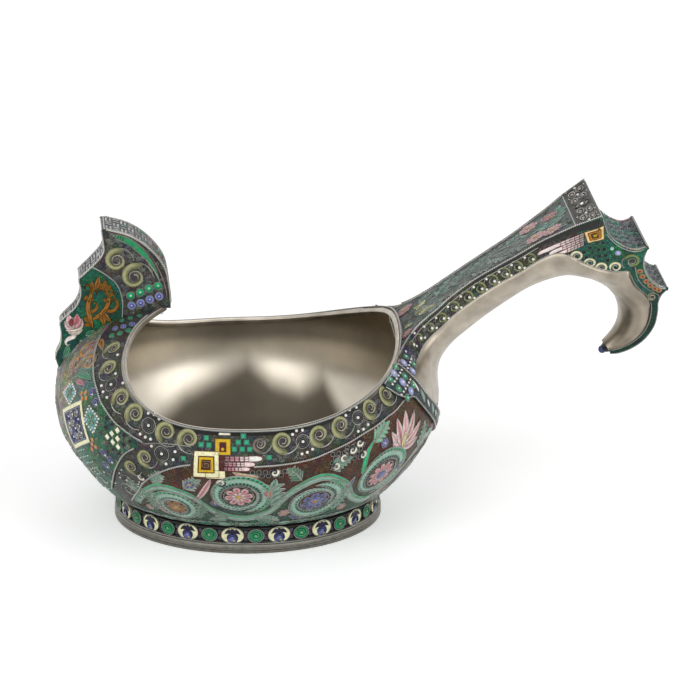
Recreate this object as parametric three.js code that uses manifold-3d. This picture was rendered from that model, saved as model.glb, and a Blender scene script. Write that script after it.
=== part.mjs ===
// A kovsh: a round silver drinking bowl on a low foot ring, with a tall stepped
// prow at one end and a hooked, flat-topped handle at the other.
// Millimetres, +Z up, the handle points along +X, the two long sides face -Y and +Y.
import * as THREE from 'three';
import { mergeVertices } from 'three/addons/utils/BufferGeometryUtils.js';
import Module from 'manifold-3d';

const wasm = await Module();
wasm.setup();

// sizes that can be set by themselves
const bowlRadius = 75; // widest outside radius of the bowl
const bowlHeight = 78.4; // from the foot ring's top to the closed crown level
const bowlWall = 1.3; // sheet thickness of the bowl
const bowlSag = 2.4; // how far the bowl's floor hangs into the foot ring
const clearance = 0.3; // gap kept between neighbouring pieces
const cutOverrun = 4; // how far a cutting body runs past what it cuts

const lipWidth = 2.4; // height of the plain lip bar
const lipOverhang = 0.9; // how far the lip bar stands inside the wall

const footFlangeOut = 2; // how far the foot flange stands outside the joint with the bowl
const footRingIn = 2.2; // how far the foot ring reaches inside that joint
const footFlangeHeight = 3.8;
const footBandHeight = 6.5;
const footBandInset = 1.3; // the band stands in from the flange by this
const flangeChamfer = 0.7;

const ropeRadius = 0.55; // twisted rope wire along rim and foot
const wireRadius = 0.4; // fine twisted wire that frames the panels
const sheet = 1.2; // sheet thickness of the prow and the handle

const prowHeight = 58.8; // from its lowest point up to the top tooth

const handleLength = 106.2; // from the rim to the outermost tooth, along X
const handleRise = 51.6; // from the rim up to the top tooth
const apronThickness = 1.2; // sheet that seats the handle on the bowl
const tipBeadRadius = 1.6;

const collarThickness = 0.8; // raised strap that crosses the bowl under the handle

// what follows from them
const footHeight = footFlangeHeight + footBandHeight + clearance;
const footJointRadius = bowlRadius * 101 / 150; // radius where the bowl meets the foot ring
const footRadius = footJointRadius + footFlangeOut;
const footInnerRadius = footJointRadius - footRingIn;
const handleRootX = bowlRadius * 0.76;
const handleRootZ = footHeight + bowlHeight * 39 / 49;
const headHalfWidth = bowlRadius * 283 / 750; // half the width across the top tooth
const prowFootZ = footHeight + bowlHeight * 247 / 392; // level of the prow's lowest point
const prowHalfWidth = bowlRadius * 13 / 100; // half the width of the prow's crest

// counts
const bowlColumns = 48;
const outerRows = 12;
const innerRows = 7;
const profileSteps = 12;
const cutterSkip = 6; // the cutting body keeps every sixth point of the outline
const ropeSides = 5;
const wireSides = 4;
const bellySteps = 8;
const cheekSteps = 3;
const apronRows = 6;
const collarSteps = 3;

// tables of shares
// bowl outline: radius as a share of bowlRadius, height as a share of bowlHeight
const bowlShares = [
  [0.752, 0.0434], [0.84, 0.1352], [0.928, 0.2513], [0.9787, 0.3495], [0.9987, 0.4452],
  [0.9987, 0.5281], [0.9733, 0.6492], [0.8907, 0.7577], [0.8027, 0.8316], [0.6667, 0.9107],
  [0.5373, 0.9515], [0.4293, 0.9745], [0.2667, 0.9923],
];
// way up the wall to the mouth's edge, as shares of the whole outline from the foot to
// the closed crown: at the lowest rim, the climb from there to the handle and to the
// prow, and the highest way that the rim reaches
const mouthShares = [0.392250042630328, 0.18244188029317582, 0.4210197237534826, 0.7732728926272298];
const floorShares = [[0, 1], [0.35, 0.9], [0.7, 0.45], [0.93, 0]];

// prow cheek, from the top down: height share of prowHeight, then at the toothed
// edge the X share of bowlRadius and half-width share, then the same at the crest
const prowShares = [
  [0.9949, -0.7453, 1, -0.7253, 1],
  [0.9524, -0.7413, 0.9719, -0.6133, 0.996],
  [0.8963, -0.736, 0.9347, -0.5405, 0.9894],
  [0.8486, -0.7333, 0.9032, -0.4985, 0.9838],
  [0.801, -0.7493, 0.8717, -0.4649, 0.9783],
  [0.7347, -0.7973, 0.8278, -0.4316, 0.9705],
  [0.6837, -0.8387, 0.794, -0.4172, 0.9645],
  [0.6514, -0.8653, 0.7726, -0.4127, 0.9583],
  [0.6361, -0.864, 0.7572, -0.4105, 0.9552],
  [0.5646, -0.8547, 0.6729, -0.4026, 0.9409],
  [0.5085, -0.86, 0.6067, -0.3994, 0.9296],
  [0.4473, -0.8827, 0.5344, -0.3973, 0.9231],
  [0.3946, -0.924, 0.4722, -0.3973, 0.9231],
  [0.3503, -0.9587, 0.4201, -0.3973, 0.9231],
  [0.3333, -0.9667, 0.4, -0.3973, 0.9231],
  [0.3231, -0.9653, 0.389, -0.3973, 0.9231],
  [0.2449, -0.9587, 0.3048, -0.3973, 0.9231],
  [0.1752, -0.9653, 0.2405, -0.3973, 0.9231],
  [0.1276, -0.984, 0.1974, -0.3973, 0.9231],
  [0.0867, -0.9907, 0.1605, -0.3973, 0.9231],
  [0.0442, -0.9853, 0.1292, -0.3973, 0.9231],
  [0, -0.9707, 0.1026, -0.3973, 0.9231],
];
// rows of that table at which the stepped strips begin and end
const prowToothRows = { top: 0, second: 7, third: 14, foot: 21 };

// handle stations from the rim to the hook's tip. X is a share of handleLength,
// Z of handleRise, the half-width of headHalfWidth. First the top edge, then the
// lower edge of the patterned side, then the belly line on the middle plane (X, Z)
const handleShares = [
  [0, -0.008, 1.201, 0.009, -0.136, 1.413, 0.16, -0.523],
  [0.014, 0.017, 1.06, 0.03, -0.147, 1.29, 0.16, -0.465],
  [0.028, 0.039, 0.919, 0.05, -0.143, 1.131, 0.159, -0.407],
  [0.052, 0.079, 0.76, 0.071, -0.101, 0.883, 0.158, -0.291],
  [0.081, 0.126, 0.643, 0.094, -0.035, 0.693, 0.169, -0.203],
  [0.118, 0.18, 0.572, 0.127, 0.031, 0.594, 0.192, -0.128],
  [0.153, 0.231, 0.527, 0.164, 0.089, 0.537, 0.221, -0.062],
  [0.2, 0.308, 0.47, 0.209, 0.169, 0.477, 0.266, 0.012],
  [0.291, 0.44, 0.438, 0.301, 0.308, 0.442, 0.344, 0.136],
  [0.38, 0.554, 0.477, 0.386, 0.426, 0.473, 0.424, 0.252],
  [0.454, 0.647, 0.523, 0.46, 0.516, 0.512, 0.48, 0.328],
  [0.519, 0.736, 0.58, 0.523, 0.609, 0.562, 0.523, 0.372],
  [0.594, 0.831, 0.7, 0.584, 0.671, 0.643, 0.57, 0.411],
  [0.653, 0.907, 0.827, 0.635, 0.657, 0.689, 0.619, 0.442],
  [0.697, 0.955, 0.919, 0.672, 0.612, 0.668, 0.652, 0.446],
  [0.737, 1, 1, 0.702, 0.581, 0.654, 0.678, 0.438],
  [0.747, 0.936, 0.915, 0.725, 0.56, 0.647, 0.702, 0.428],
  [0.761, 0.86, 0.862, 0.749, 0.543, 0.64, 0.72, 0.419],
  [0.791, 0.783, 0.816, 0.772, 0.529, 0.636, 0.744, 0.397],
  [0.83, 0.727, 0.788, 0.796, 0.521, 0.636, 0.767, 0.372],
  [0.872, 0.703, 0.777, 0.823, 0.519, 0.64, 0.783, 0.349],
  [0.916, 0.733, 0.809, 0.85, 0.517, 0.643, 0.798, 0.324],
  [0.904, 0.649, 0.749, 0.859, 0.484, 0.625, 0.807, 0.304],
  [0.904, 0.581, 0.703, 0.866, 0.452, 0.604, 0.815, 0.283],
  [0.915, 0.504, 0.65, 0.876, 0.413, 0.58, 0.822, 0.266],
  [0.942, 0.426, 0.604, 0.892, 0.37, 0.555, 0.829, 0.246],
  [0.976, 0.378, 0.587, 0.904, 0.343, 0.541, 0.833, 0.227],
  [1, 0.372, 0.594, 0.915, 0.318, 0.527, 0.836, 0.209],
  [0.978, 0.314, 0.537, 0.927, 0.287, 0.505, 0.84, 0.186],
  [0.968, 0.246, 0.488, 0.938, 0.24, 0.477, 0.843, 0.163],
  [0.969, 0.178, 0.442, 0.942, 0.171, 0.431, 0.846, 0.107],
  [0.96, 0.043, 0.35, 0.934, 0.054, 0.35, 0.842, 0.037],
  [0.927, -0.081, 0.254, 0.906, -0.054, 0.265, 0.825, -0.039],
  [0.881, -0.161, 0.191, 0.87, -0.12, 0.208, 0.806, -0.091],
  [0.834, -0.202, 0.155, 0.831, -0.161, 0.166, 0.792, -0.122],
  [0.806, -0.209, 0.141, 0.803, -0.176, 0.148, 0.785, -0.138],
];
// stations at which the end panel, the teeth and the hook begin
const handleRows = { endPanel: 13, topTooth: 15, secondTooth: 21, thirdTooth: 27 };

// lines on the bowl: degrees round from the handle, share of the way up the wall
const collarShares = [
  [45.5, 0.452, 0.462], [42, 0.425, 0.474], [38, 0.408, 0.486], [34, 0.4, 0.496],
  [32, 0.383, 0.466], [30, 0.366, 0.432], [28, 0.35, 0.404], [24, 0.322, 0.37],
  [20, 0.297, 0.345], [15, 0.268, 0.314], [10, 0.243, 0.288], [5, 0.222, 0.266],
  [0.2, 0.205, 0.248],
];
const apronTopShare = 0.47;
const ropeEndShare = 53 / 60; // of the half turn from the handle to the prow
const rimBorderShares = [
  [47.5, 0.377], [52.8, 0.36], [57.5, 0.348], [61.9, 0.334], [68.4, 0.317], [74.2, 0.302],
  [83.4, 0.293], [92.3, 0.29], [101, 0.287], [109.1, 0.29], [113.1, 0.282], [117.7, 0.265],
  [121.3, 0.246], [124.3, 0.226], [128, 0.196], [131, 0.164], [135, 0.13], [139.2, 0.097],
];
const panelUpperShares = [
  [166.9, 0.573], [160.4, 0.535], [154.5, 0.498], [149.2, 0.463], [145.6, 0.441],
  [142.1, 0.415], [139, 0.396], [135.4, 0.374], [132.1, 0.361], [128.9, 0.349], [124.7, 0.336],
];
const panelLowerShares = [
  [127.7, 0.314], [131.1, 0.294], [133.6, 0.27], [136.2, 0.241], [139, 0.209], [142, 0.176],
  [145, 0.148], [147.9, 0.122],
];

// finishes
const finish = (color, roughness, metalness) =>
  new THREE.MeshStandardMaterial({ color, roughness, metalness });
const plainSilver = finish('#b9b3a6', 0.34, 1);
const wireSilver = finish('#a9a69c', 0.42, 1);
const brocadeSilver = finish('#77797d', 0.5, 1);
const deepGreenEnamel = finish('#1d4a41', 0.2, 0);
const slateEnamel = finish('#4a4e5c', 0.22, 0);
const blackEnamel = finish('#0f1716', 0.2, 0);
const blueEnamel = finish('#4d63b8', 0.2, 0);

// small helpers
const radians = THREE.MathUtils.degToRad;
const vec = (x, y, z) => new THREE.Vector3(x, y, z);
const mix = (a, b, t) => a + (b - a) * t;

function signedVolume(positions, index) {
  const a = new THREE.Vector3();
  const b = new THREE.Vector3();
  const c = new THREE.Vector3();
  let total = 0;
  for (let i = 0; i < index.length; i += 3) {
    a.fromArray(positions, index[i] * 3);
    b.fromArray(positions, index[i + 1] * 3);
    c.fromArray(positions, index[i + 2] * 3);
    total += a.dot(b.cross(c));
  }
  return total;
}

// joins points and four-cornered faces into one closed geometry, faces outward
function bodyOf(points, quads) {
  const geometry = new THREE.BufferGeometry();
  geometry.setAttribute('position', new THREE.Float32BufferAttribute(points.flatMap((p) => [p.x, p.y, p.z]), 3));
  geometry.setIndex(quads.flatMap(([a, b, c, d]) => [a, b, c, a, c, d]));
  return tidied(geometry);
}

function tidied(geometry) {
  const plain = geometry.clone();
  plain.deleteAttribute('normal');
  plain.deleteAttribute('uv');
  const merged = mergeVertices(plain);
  const source = merged.getIndex().array;
  const kept = [];
  for (let i = 0; i < source.length; i += 3) {
    const [a, b, c] = [source[i], source[i + 1], source[i + 2]];
    if (a !== b && b !== c && c !== a) kept.push(a, b, c);
  }
  if (signedVolume(merged.getAttribute('position').array, kept) < 0) kept.reverse();
  merged.setIndex(kept);
  merged.computeVertexNormals();
  return merged;
}

// a sheet between two matching grids of points, closed along all its edges
function sheetBody(outer, inner, wrap) {
  const rows = outer.length;
  const columns = outer[0].length;
  const at = (layer, i, j) => (layer * rows + (i % rows)) * columns + j;
  const quads = [];
  const lastRow = wrap ? rows : rows - 1;
  for (let i = 0; i < lastRow; i += 1) {
    for (let j = 0; j < columns - 1; j += 1) {
      quads.push([at(0, i, j), at(0, i + 1, j), at(0, i + 1, j + 1), at(0, i, j + 1)]);
      quads.push([at(1, i, j + 1), at(1, i + 1, j + 1), at(1, i + 1, j), at(1, i, j)]);
    }
    const end = columns - 1;
    quads.push([at(0, i, 0), at(1, i, 0), at(1, i + 1, 0), at(0, i + 1, 0)]);
    quads.push([at(0, i + 1, end), at(1, i + 1, end), at(1, i, end), at(0, i, end)]);
  }
  if (!wrap) {
    const end = rows - 1;
    for (let j = 0; j < columns - 1; j += 1) {
      quads.push([at(0, 0, j + 1), at(1, 0, j + 1), at(1, 0, j), at(0, 0, j)]);
      quads.push([at(0, end, j), at(1, end, j), at(1, end, j + 1), at(0, end, j + 1)]);
    }
  }
  return bodyOf([...outer.flat(), ...inner.flat()], quads);
}

// a bar whose section is given at every station, closed on itself or capped
function barBody(sections, closed) {
  const count = sections.length;
  const sides = sections[0].length;
  const at = (i, j) => (i % count) * sides + (j % sides);
  const quads = [];
  for (let i = 0; i < (closed ? count : count - 1); i += 1) {
    for (let j = 0; j < sides; j += 1) {
      quads.push([at(i, j), at(i + 1, j), at(i + 1, j + 1), at(i, j + 1)]);
    }
  }
  const points = sections.flat();
  if (!closed) {
    [0, count - 1].forEach((i) => {
      const middle = sections[i].reduce((sum, p) => sum.add(p), vec(0, 0, 0)).divideScalar(sides);
      points.push(middle);
      for (let j = 0; j < sides; j += 1) {
        const face = [at(i, j), at(i, j + 1), points.length - 1, points.length - 1];
        quads.push(i === 0 ? face : [face[1], face[0], face[2], face[3]]);
      }
    });
  }
  return bodyOf(points, quads);
}

// a round wire along a path, with the direction away from its seat at each point
function wireBody(path, outward, radius, sides, closed) {
  const count = path.length;
  const sections = path.map((point, i) => {
    const ahead = path[closed ? (i + 1) % count : Math.min(i + 1, count - 1)];
    const behind = path[closed ? (i + count - 1) % count : Math.max(i - 1, 0)];
    const along = ahead.clone().sub(behind).normalize();
    const across = along.clone().cross(outward[i]).normalize();
    const up = across.clone().cross(along);
    return Array.from({ length: sides }, (_, k) => {
      const turn = (2 * Math.PI * (k + 0.5)) / sides;
      return point.clone()
        .addScaledVector(across, radius * Math.cos(turn))
        .addScaledVector(up, radius * Math.sin(turn));
    });
  });
  return barBody(sections, closed);
}

// unit normals of a grid of points, all turned to the side given by `toward`
function gridNormals(grid, toward) {
  const rows = grid.length;
  const columns = grid[0].length;
  return grid.map((row, i) => row.map((point, j) => {
    const du = grid[Math.min(i + 1, rows - 1)][j].clone().sub(grid[Math.max(i - 1, 0)][j]);
    const dv = row[Math.min(j + 1, columns - 1)].clone().sub(row[Math.max(j - 1, 0)]);
    const normal = du.cross(dv).normalize();
    return normal.dot(toward) < 0 ? normal.negate() : normal;
  }));
}

// a grid carried on past its edges: past its first and last columns, and its end rows
function grownGrid(grid, firstColumn, lastColumn, ends) {
  const past = (a, b, distance) => a.clone().add(a.clone().sub(b).setLength(distance));
  const wide = grid.map((row) => {
    const n = row.length;
    return [past(row[0], row[1], firstColumn), ...row, past(row[n - 1], row[n - 2], lastColumn)];
  });
  const m = wide.length;
  const before = wide[0].map((p, j) => past(p, wide[1][j], ends));
  const after = wide[m - 1].map((p, j) => past(p, wide[m - 2][j], ends));
  return [before, ...wide, after];
}

const offsetGrid = (grid, normals, distance) =>
  grid.map((row, i) => row.map((point, j) => point.clone().addScaledVector(normals[i][j], distance)));

function toSolid(geometry) {
  const closed = tidied(geometry);
  return new wasm.Manifold(new wasm.Mesh({
    numProp: 3,
    vertProperties: Float32Array.from(closed.getAttribute('position').array),
    triVerts: Uint32Array.from(closed.getIndex().array),
  }));
}

// back to a geometry, keeping only the largest connected body of a cut piece
function fromSolid(solid) {
  const mesh = solid.getMesh();
  const geometry = new THREE.BufferGeometry();
  geometry.setAttribute('position', new THREE.Float32BufferAttribute(mesh.vertProperties, mesh.numProp));
  geometry.setIndex(Array.from(mesh.triVerts));
  const merged = tidied(geometry);
  const index = Array.from(merged.getIndex().array);
  const positions = merged.getAttribute('position').array;
  const owner = Array.from({ length: index.length / 3 }, (_, i) => i);
  const rootOf = (i) => {
    let root = i;
    while (owner[root] !== root) root = owner[root];
    owner[i] = root;
    return root;
  };
  const seen = new Map();
  index.forEach((a, i) => {
    const face = Math.floor(i / 3);
    const b = index[face * 3 + ((i + 1) % 3)];
    const edge = `${Math.min(a, b)}_${Math.max(a, b)}`;
    if (seen.has(edge)) owner[rootOf(face)] = rootOf(seen.get(edge));
    seen.set(edge, face);
  });
  const groups = new Map();
  owner.forEach((_, face) => {
    const root = rootOf(face);
    if (!groups.has(root)) groups.set(root, []);
    groups.get(root).push(...index.slice(face * 3, face * 3 + 3));
  });
  const largest = [...groups.values()].sort((a, b) => signedVolume(positions, b) - signedVolume(positions, a))[0];
  merged.setIndex(largest);
  return tidied(merged.toNonIndexed());
}

function cut(geometry, cutters) {
  return fromSolid(cutters.reduce((solid, cutter) => solid.subtract(cutter), toSolid(geometry)));
}

// the bowl's outline as a list of points with normals and way along it
function bowlOutline() {
  const points = [vec(footJointRadius, 0, footHeight)];
  bowlShares.forEach(([r, z]) => points.push(vec(r * bowlRadius, 0, footHeight + z * bowlHeight)));
  points.push(vec(0, 0, footHeight + bowlHeight));
  const curve = new THREE.CatmullRomCurve3(points, false, 'centripetal');
  const samples = curve.getPoints((points.length - 1) * profileSteps);
  let way = 0;
  return samples.map((point, i) => {
    const next = samples[Math.min(i + 1, samples.length - 1)];
    const last = samples[Math.max(i - 1, 0)];
    if (i > 0) way += point.distanceTo(last);
    const along = next.clone().sub(last).normalize();
    return { r: point.x, z: point.z, nr: along.z, nz: -along.x, way };
  });
}
const outline = bowlOutline();
const outlineLength = outline[outline.length - 1].way;

function outlineAt(way) {
  let i = 1;
  while (i < outline.length - 1 && outline[i].way < way) i += 1;
  const [a, b] = [outline[i - 1], outline[i]];
  const t = THREE.MathUtils.clamp((way - a.way) / (b.way - a.way), 0, 1);
  return { r: mix(a.r, b.r, t), z: mix(a.z, b.z, t), nr: mix(a.nr, b.nr, t), nz: mix(a.nz, b.nz, t) };
}

// a point on the bowl: angle from the handle, way up the wall, distance outside it
function onBowl(angle, way, outside) {
  const p = outlineAt(way);
  const r = p.r + p.nr * outside;
  return vec(r * Math.cos(angle), r * Math.sin(angle), p.z + p.nz * outside);
}

function bowlNormal(angle, way) {
  const p = outlineAt(way);
  return vec(p.nr * Math.cos(angle), p.nr * Math.sin(angle), p.nz).normalize();
}

// way up the wall at which the mouth's edge lies: lowest at the sides
function mouthWay(angle) {
  const [dip, handleClimb, prowClimb, prowCap] = mouthShares.map((share) => share * outlineLength);
  const c = Math.cos(angle);
  if (c > 0) return dip + handleClimb * c ** 2.3;
  return Math.min(dip + prowClimb * Math.abs(c) ** 4.2, prowCap);
}

const columnAngles = Array.from({ length: bowlColumns }, (_, i) => (2 * Math.PI * i) / bowlColumns);

function makeBowl() {
  const outer = [];
  const inner = [];
  columnAngles.forEach((angle) => {
    const edge = mouthWay(angle) - lipWidth;
    const outside = [];
    const inside = [];
    floorShares.forEach(([r, sag]) => {
      const radius = r * footJointRadius;
      const z = footHeight - sag * bowlSag;
      outside.push(vec(radius * Math.cos(angle), radius * Math.sin(angle), z));
    });
    for (let k = 0; k < outerRows; k += 1) outside.push(onBowl(angle, (edge * k) / (outerRows - 1), 0));
    const floorEdge = bowlWall * 2;
    floorShares.slice(0, -1).forEach(([r, sag]) => {
      const radius = r * footJointRadius;
      const z = footHeight - sag * bowlSag + bowlWall;
      inside.push(vec(radius * Math.cos(angle), radius * Math.sin(angle), z));
    });
    for (let k = 0; k < innerRows; k += 1) {
      inside.push(onBowl(angle, mix(floorEdge, edge, k / (innerRows - 1)), -bowlWall));
    }
    outer.push(outside);
    inner.push(inside);
  });
  return bowlOfRows(outer, inner);
}

// joins the outside and the inside rows, which meet at the rim and close on the axis
function bowlOfRows(outer, inner) {
  const points = [];
  const quads = [];
  const profile = outer.map((row, i) => [...row, ...inner[i].slice().reverse()]);
  const rows = profile.length;
  const columns = profile[0].length;
  profile.forEach((row) => points.push(...row));
  for (let i = 0; i < rows; i += 1) {
    for (let j = 0; j < columns - 1; j += 1) {
      const a = i * columns + j;
      const b = ((i + 1) % rows) * columns + j;
      quads.push([a, b, b + 1, a + 1]);
    }
  }
  return bodyOf(points, quads);
}

// the plain bar that finishes the mouth's edge
function makeLip() {
  const sections = columnAngles.map((angle) => {
    const top = mouthWay(angle);
    const low = top - lipWidth + clearance;
    const inside = -bowlWall - lipOverhang;
    const round = lipOverhang / 2;
    return [
      onBowl(angle, low, 0),
      onBowl(angle, top - round, 0),
      onBowl(angle, top, -round),
      onBowl(angle, top, inside + round),
      onBowl(angle, top - round, inside),
      onBowl(angle, low, inside),
    ];
  });
  return barBody(sections, true);
}

// twisted rope that runs along the mouth outside the lip, and stops at the prow
const ropeEndAngle = Math.PI * ropeEndShare;
const ropeSteps = 48;
function rimRope(radius) {
  const path = [];
  const outward = [];
  for (let k = 0; k <= ropeSteps; k += 1) {
    const angle = mix(-ropeEndAngle, ropeEndAngle, k / ropeSteps);
    const way = mouthWay(angle) - ropeRadius;
    path.push(onBowl(angle, way, clearance + ropeRadius));
    outward.push(bowlNormal(angle, way));
  }
  return wireBody(path, outward, radius, ropeSides, false);
}

// foot ring
function ringBody(profile) {
  const outlinePoints = profile.map(([r, z]) => new THREE.Vector2(r, z));
  outlinePoints.push(outlinePoints[0].clone());
  return tidied(new THREE.LatheGeometry(outlinePoints, bowlColumns));
}

function makeFlange() {
  return ringBody([
    [footInnerRadius, 0],
    [footRadius, 0],
    [footRadius, footFlangeHeight - flangeChamfer],
    [footRadius - flangeChamfer / 2, footFlangeHeight],
    [footInnerRadius, footFlangeHeight],
  ]);
}

const bandRadius = footRadius - footBandInset;
function makeFootBand() {
  return ringBody([
    [footInnerRadius, footFlangeHeight],
    [bandRadius, footFlangeHeight],
    [bandRadius, footFlangeHeight + footBandHeight],
    [footInnerRadius, footFlangeHeight + footBandHeight],
  ]);
}

function footRope(z) {
  const reach = bandRadius + clearance + wireRadius;
  const path = columnAngles.map((angle) => vec(reach * Math.cos(angle), reach * Math.sin(angle), z));
  const outward = columnAngles.map((angle) => vec(Math.cos(angle), Math.sin(angle), 0));
  return wireBody(path, outward, wireRadius, wireSides, true);
}

// bodies used for cutting
const lathed = (outside) => {
  const profile = [new THREE.Vector2(0, footHeight - outside)];
  outline.forEach((p, i) => {
    const last = i === outline.length - 1;
    if (i % cutterSkip > 0) return;
    profile.push(new THREE.Vector2(last ? 0 : p.r + p.nr * outside, p.z + p.nz * outside));
  });
  const body = new THREE.LatheGeometry(profile, bowlColumns);
  body.rotateX(Math.PI / 2);
  return body;
};

// a lathe turns about Y, so its bodies are stood up on Z, columns matching the bowl's
const bowlCutter = toSolid(lathed(clearance));
const ropeCutter = toSolid(rimRope(ropeRadius + clearance));

// prow
const prowX = (share) => share * bowlRadius;
const prowZ = (share) => prowFootZ + share * prowHeight;
const prowY = (share) => share * prowHalfWidth;

function prowCheekGrid(side) {
  return prowShares.map(([h, toothX, toothY, crestX, crestY]) =>
    Array.from({ length: cheekSteps + 1 }, (_, k) => {
      const t = k / cheekSteps;
      return vec(prowX(mix(toothX, crestX, t)), side * prowY(mix(toothY, crestY, t)), prowZ(h));
    }));
}

function cheekBody(grid, side, out, deep) {
  const normals = gridNormals(grid, vec(0, side, 0));
  return sheetBody(offsetGrid(grid, normals, out), offsetGrid(grid, normals, -deep), false);
}

function makeProwCheek(side) {
  return cut(cheekBody(prowCheekGrid(side), side, 0, sheet), [bowlCutter]);
}

const prowCheekCutters = [-1, 1].map((side) => {
  const grid = grownGrid(prowCheekGrid(side), sheet, sheet, sheet);
  return toSolid(cheekBody(grid, side, cutOverrun, sheet + clearance));
});

// a strip of sheet across the prow or the handle, along an edge line of (X, Z, half-width)
function stripBody(line, thickness, inward) {
  const sections = line.map(([x, z, half], i) => {
    const ahead = line[Math.min(i + 1, line.length - 1)];
    const behind = line[Math.max(i - 1, 0)];
    const along = vec(ahead[0] - behind[0], 0, ahead[1] - behind[1]).normalize();
    const deep = vec(-along.z, 0, along.x).multiplyScalar(inward * thickness);
    return [
      vec(x, -half, z),
      vec(x, half, z),
      vec(x + deep.x, half, z + deep.z),
      vec(x + deep.x, -half, z + deep.z),
    ];
  });
  return barBody(sections, false);
}

// moves the first point of an edge line down it, so two strips meet with a gap
function trimmedStart(line, distance) {
  const rest = line.map((p) => [...p]);
  let left = distance;
  while (rest.length > 2) {
    const [a, b] = rest;
    const span = Math.hypot(b[0] - a[0], b[1] - a[1]);
    if (span > left) {
      rest[0] = a.map((value, i) => mix(value, b[i], left / span));
      return rest;
    }
    left -= span;
    rest.shift();
  }
  return rest;
}

const prowEdge = (from, to) => prowShares.slice(from, to + 1).map(([h, x, y]) => [prowX(x), prowZ(h), prowY(y)]);
// how far a strip starts below the tooth where the strip above it ends
const strips = sheet + clearance * 2;
const sharpStrips = sheet * 2 + clearance * 2;

function makeProwStep(from, to) {
  const line = trimmedStart(prowEdge(from, to), strips);
  return cut(stripBody(line, sheet, 1), [bowlCutter, ...prowCheekCutters]);
}

function makeProwCrest() {
  const line = prowShares.map(([h, , , x, y]) => [prowX(x), prowZ(h), prowY(y)]);
  return cut(stripBody(line, sheet, -1), [bowlCutter, ...prowCheekCutters]);
}

// wire on the crest where it meets a cheek
const crestWireRows = 11;
function prowCrestWire(side) {
  const line = prowShares.slice(1, crestWireRows);
  const path = line.map(([h, , , x, y], i) => {
    const lift = clearance + wireRadius;
    const [a, b] = [line[Math.max(i - 1, 0)], line[Math.min(i + 1, line.length - 1)]];
    const along = vec(prowX(b[3] - a[3]), 0, (b[0] - a[0]) * prowHeight).normalize();
    const out = vec(-along.z, 0, along.x);
    return vec(prowX(x), side * (prowY(y) - wireRadius), prowZ(h)).addScaledVector(out, lift);
  });
  return wireBody(path, path.map(() => vec(0, side, 0)), wireRadius, wireSides, false);
}

// puts a middle row between every two rows of a table
const halved = (rows) => rows.flatMap((row, i) =>
  (i === 0 ? [row] : [row.map((value, k) => (value + rows[i - 1][k]) / 2), row]));

// a line on the bowl moved sideways by a distance, towards the handle
function besideLine(rows, distance) {
  return rows.map(([degrees, share], i) => {
    const [d0, s0] = rows[Math.max(i - 1, 0)];
    const [d1, s1] = rows[Math.min(i + 1, rows.length - 1)];
    const across = new THREE.Vector2((s1 - s0) * outlineLength, -radians(d1 - d0) * bowlRadius);
    across.setLength(distance);
    return [degrees + THREE.MathUtils.radToDeg(across.x / bowlRadius), share + across.y / outlineLength];
  });
}

// collar: a raised strap on the bowl, down and round under the handle
const collarRows = halved(collarShares);
const collarUpper = collarRows.map(([degrees, , b]) => [degrees, b]);
const collarWireStart = 8; // row at which the wire beside the collar begins
const wireBeside = clearance + wireRadius;
const apronBeside = (clearance + wireRadius) * 2;

function collarBody(side, beside, inside, outside) {
  const upper = beside > 0 ? besideLine(collarUpper, beside) : collarUpper;
  const grid = (away) => collarRows.map(([degrees, a], i) =>
    Array.from({ length: collarSteps + 1 }, (_, k) => {
      const t = k / collarSteps;
      const angle = side * radians(mix(degrees, upper[i][0], t));
      return onBowl(angle, mix(a, upper[i][1], t) * outlineLength, away);
    }));
  return sheetBody(grid(outside), grid(inside), false);
}

function makeCollar(side) {
  return cut(collarBody(side, 0, clearance, clearance + collarThickness), [ropeCutter]);
}

const collarCutters = [-1, 1].map((side) =>
  toSolid(collarBody(side, apronBeside + clearance, -bowlWall, cutOverrun)));

// fine wire along the collar's upper edge, from beside the mouth to under the handle
function collarWire(side) {
  const line = besideLine(collarUpper, wireBeside).slice(collarWireStart);
  return borderWire(side, line.filter(([degrees]) => radians(degrees) * bowlRadius > wireBeside));
}

// fine wire along a border line on the bowl
function borderWire(side, shares) {
  const path = shares.map(([degrees, s]) =>
    onBowl(side * radians(degrees), s * outlineLength, clearance + wireRadius));
  const outward = shares.map(([degrees, s]) => bowlNormal(side * radians(degrees), s * outlineLength));
  return wireBody(path, outward, wireRadius, wireSides, false);
}

// handle
const handleX = (share) => handleRootX + share * handleLength;
const handleZ = (share) => handleRootZ + share * handleRise;
const handleY = (share) => share * headHalfWidth;
const stations = handleShares.map(([ox, oz, oy, sx, sz, sy, ix, iz]) => ({
  top: [handleX(ox), handleZ(oz), handleY(oy)],
  side: [handleX(sx), handleZ(sz), handleY(sy)],
  belly: [handleX(ix), handleZ(iz)],
}));

function handleSideGrid(side) {
  return stations.map(({ top, side: low }) => [0, 0.5, 1].map((t) =>
    vec(mix(top[0], low[0], t), side * mix(top[2], low[2], t), mix(top[1], low[1], t))));
}

const sideBodies = [-1, 1].map((side) => cheekBody(handleSideGrid(side), side, 0, sheet));
const sideCutters = [-1, 1].map((side) => {
  const grid = grownGrid(handleSideGrid(side), sheet, clearance, sheet);
  return toSolid(cheekBody(grid, side, cutOverrun / 2, sheet + clearance));
});

function makeHandleSide(which) {
  return cut(sideBodies[which], [bowlCutter, ropeCutter, ...collarCutters]);
}

const topEdge = (from, to) => stations.slice(from, to + 1).map(({ top }) => top);

function makeTopPlate() {
  const line = topEdge(0, handleRows.endPanel);
  return cut(stripBody(line, sheet, -1), [bowlCutter, ropeCutter, ...collarCutters, ...sideCutters]);
}

function makeEndPanel() {
  const line = trimmedStart(topEdge(handleRows.endPanel, handleRows.topTooth), clearance);
  return cut(stripBody(line, sheet, -1), sideCutters);
}

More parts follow.
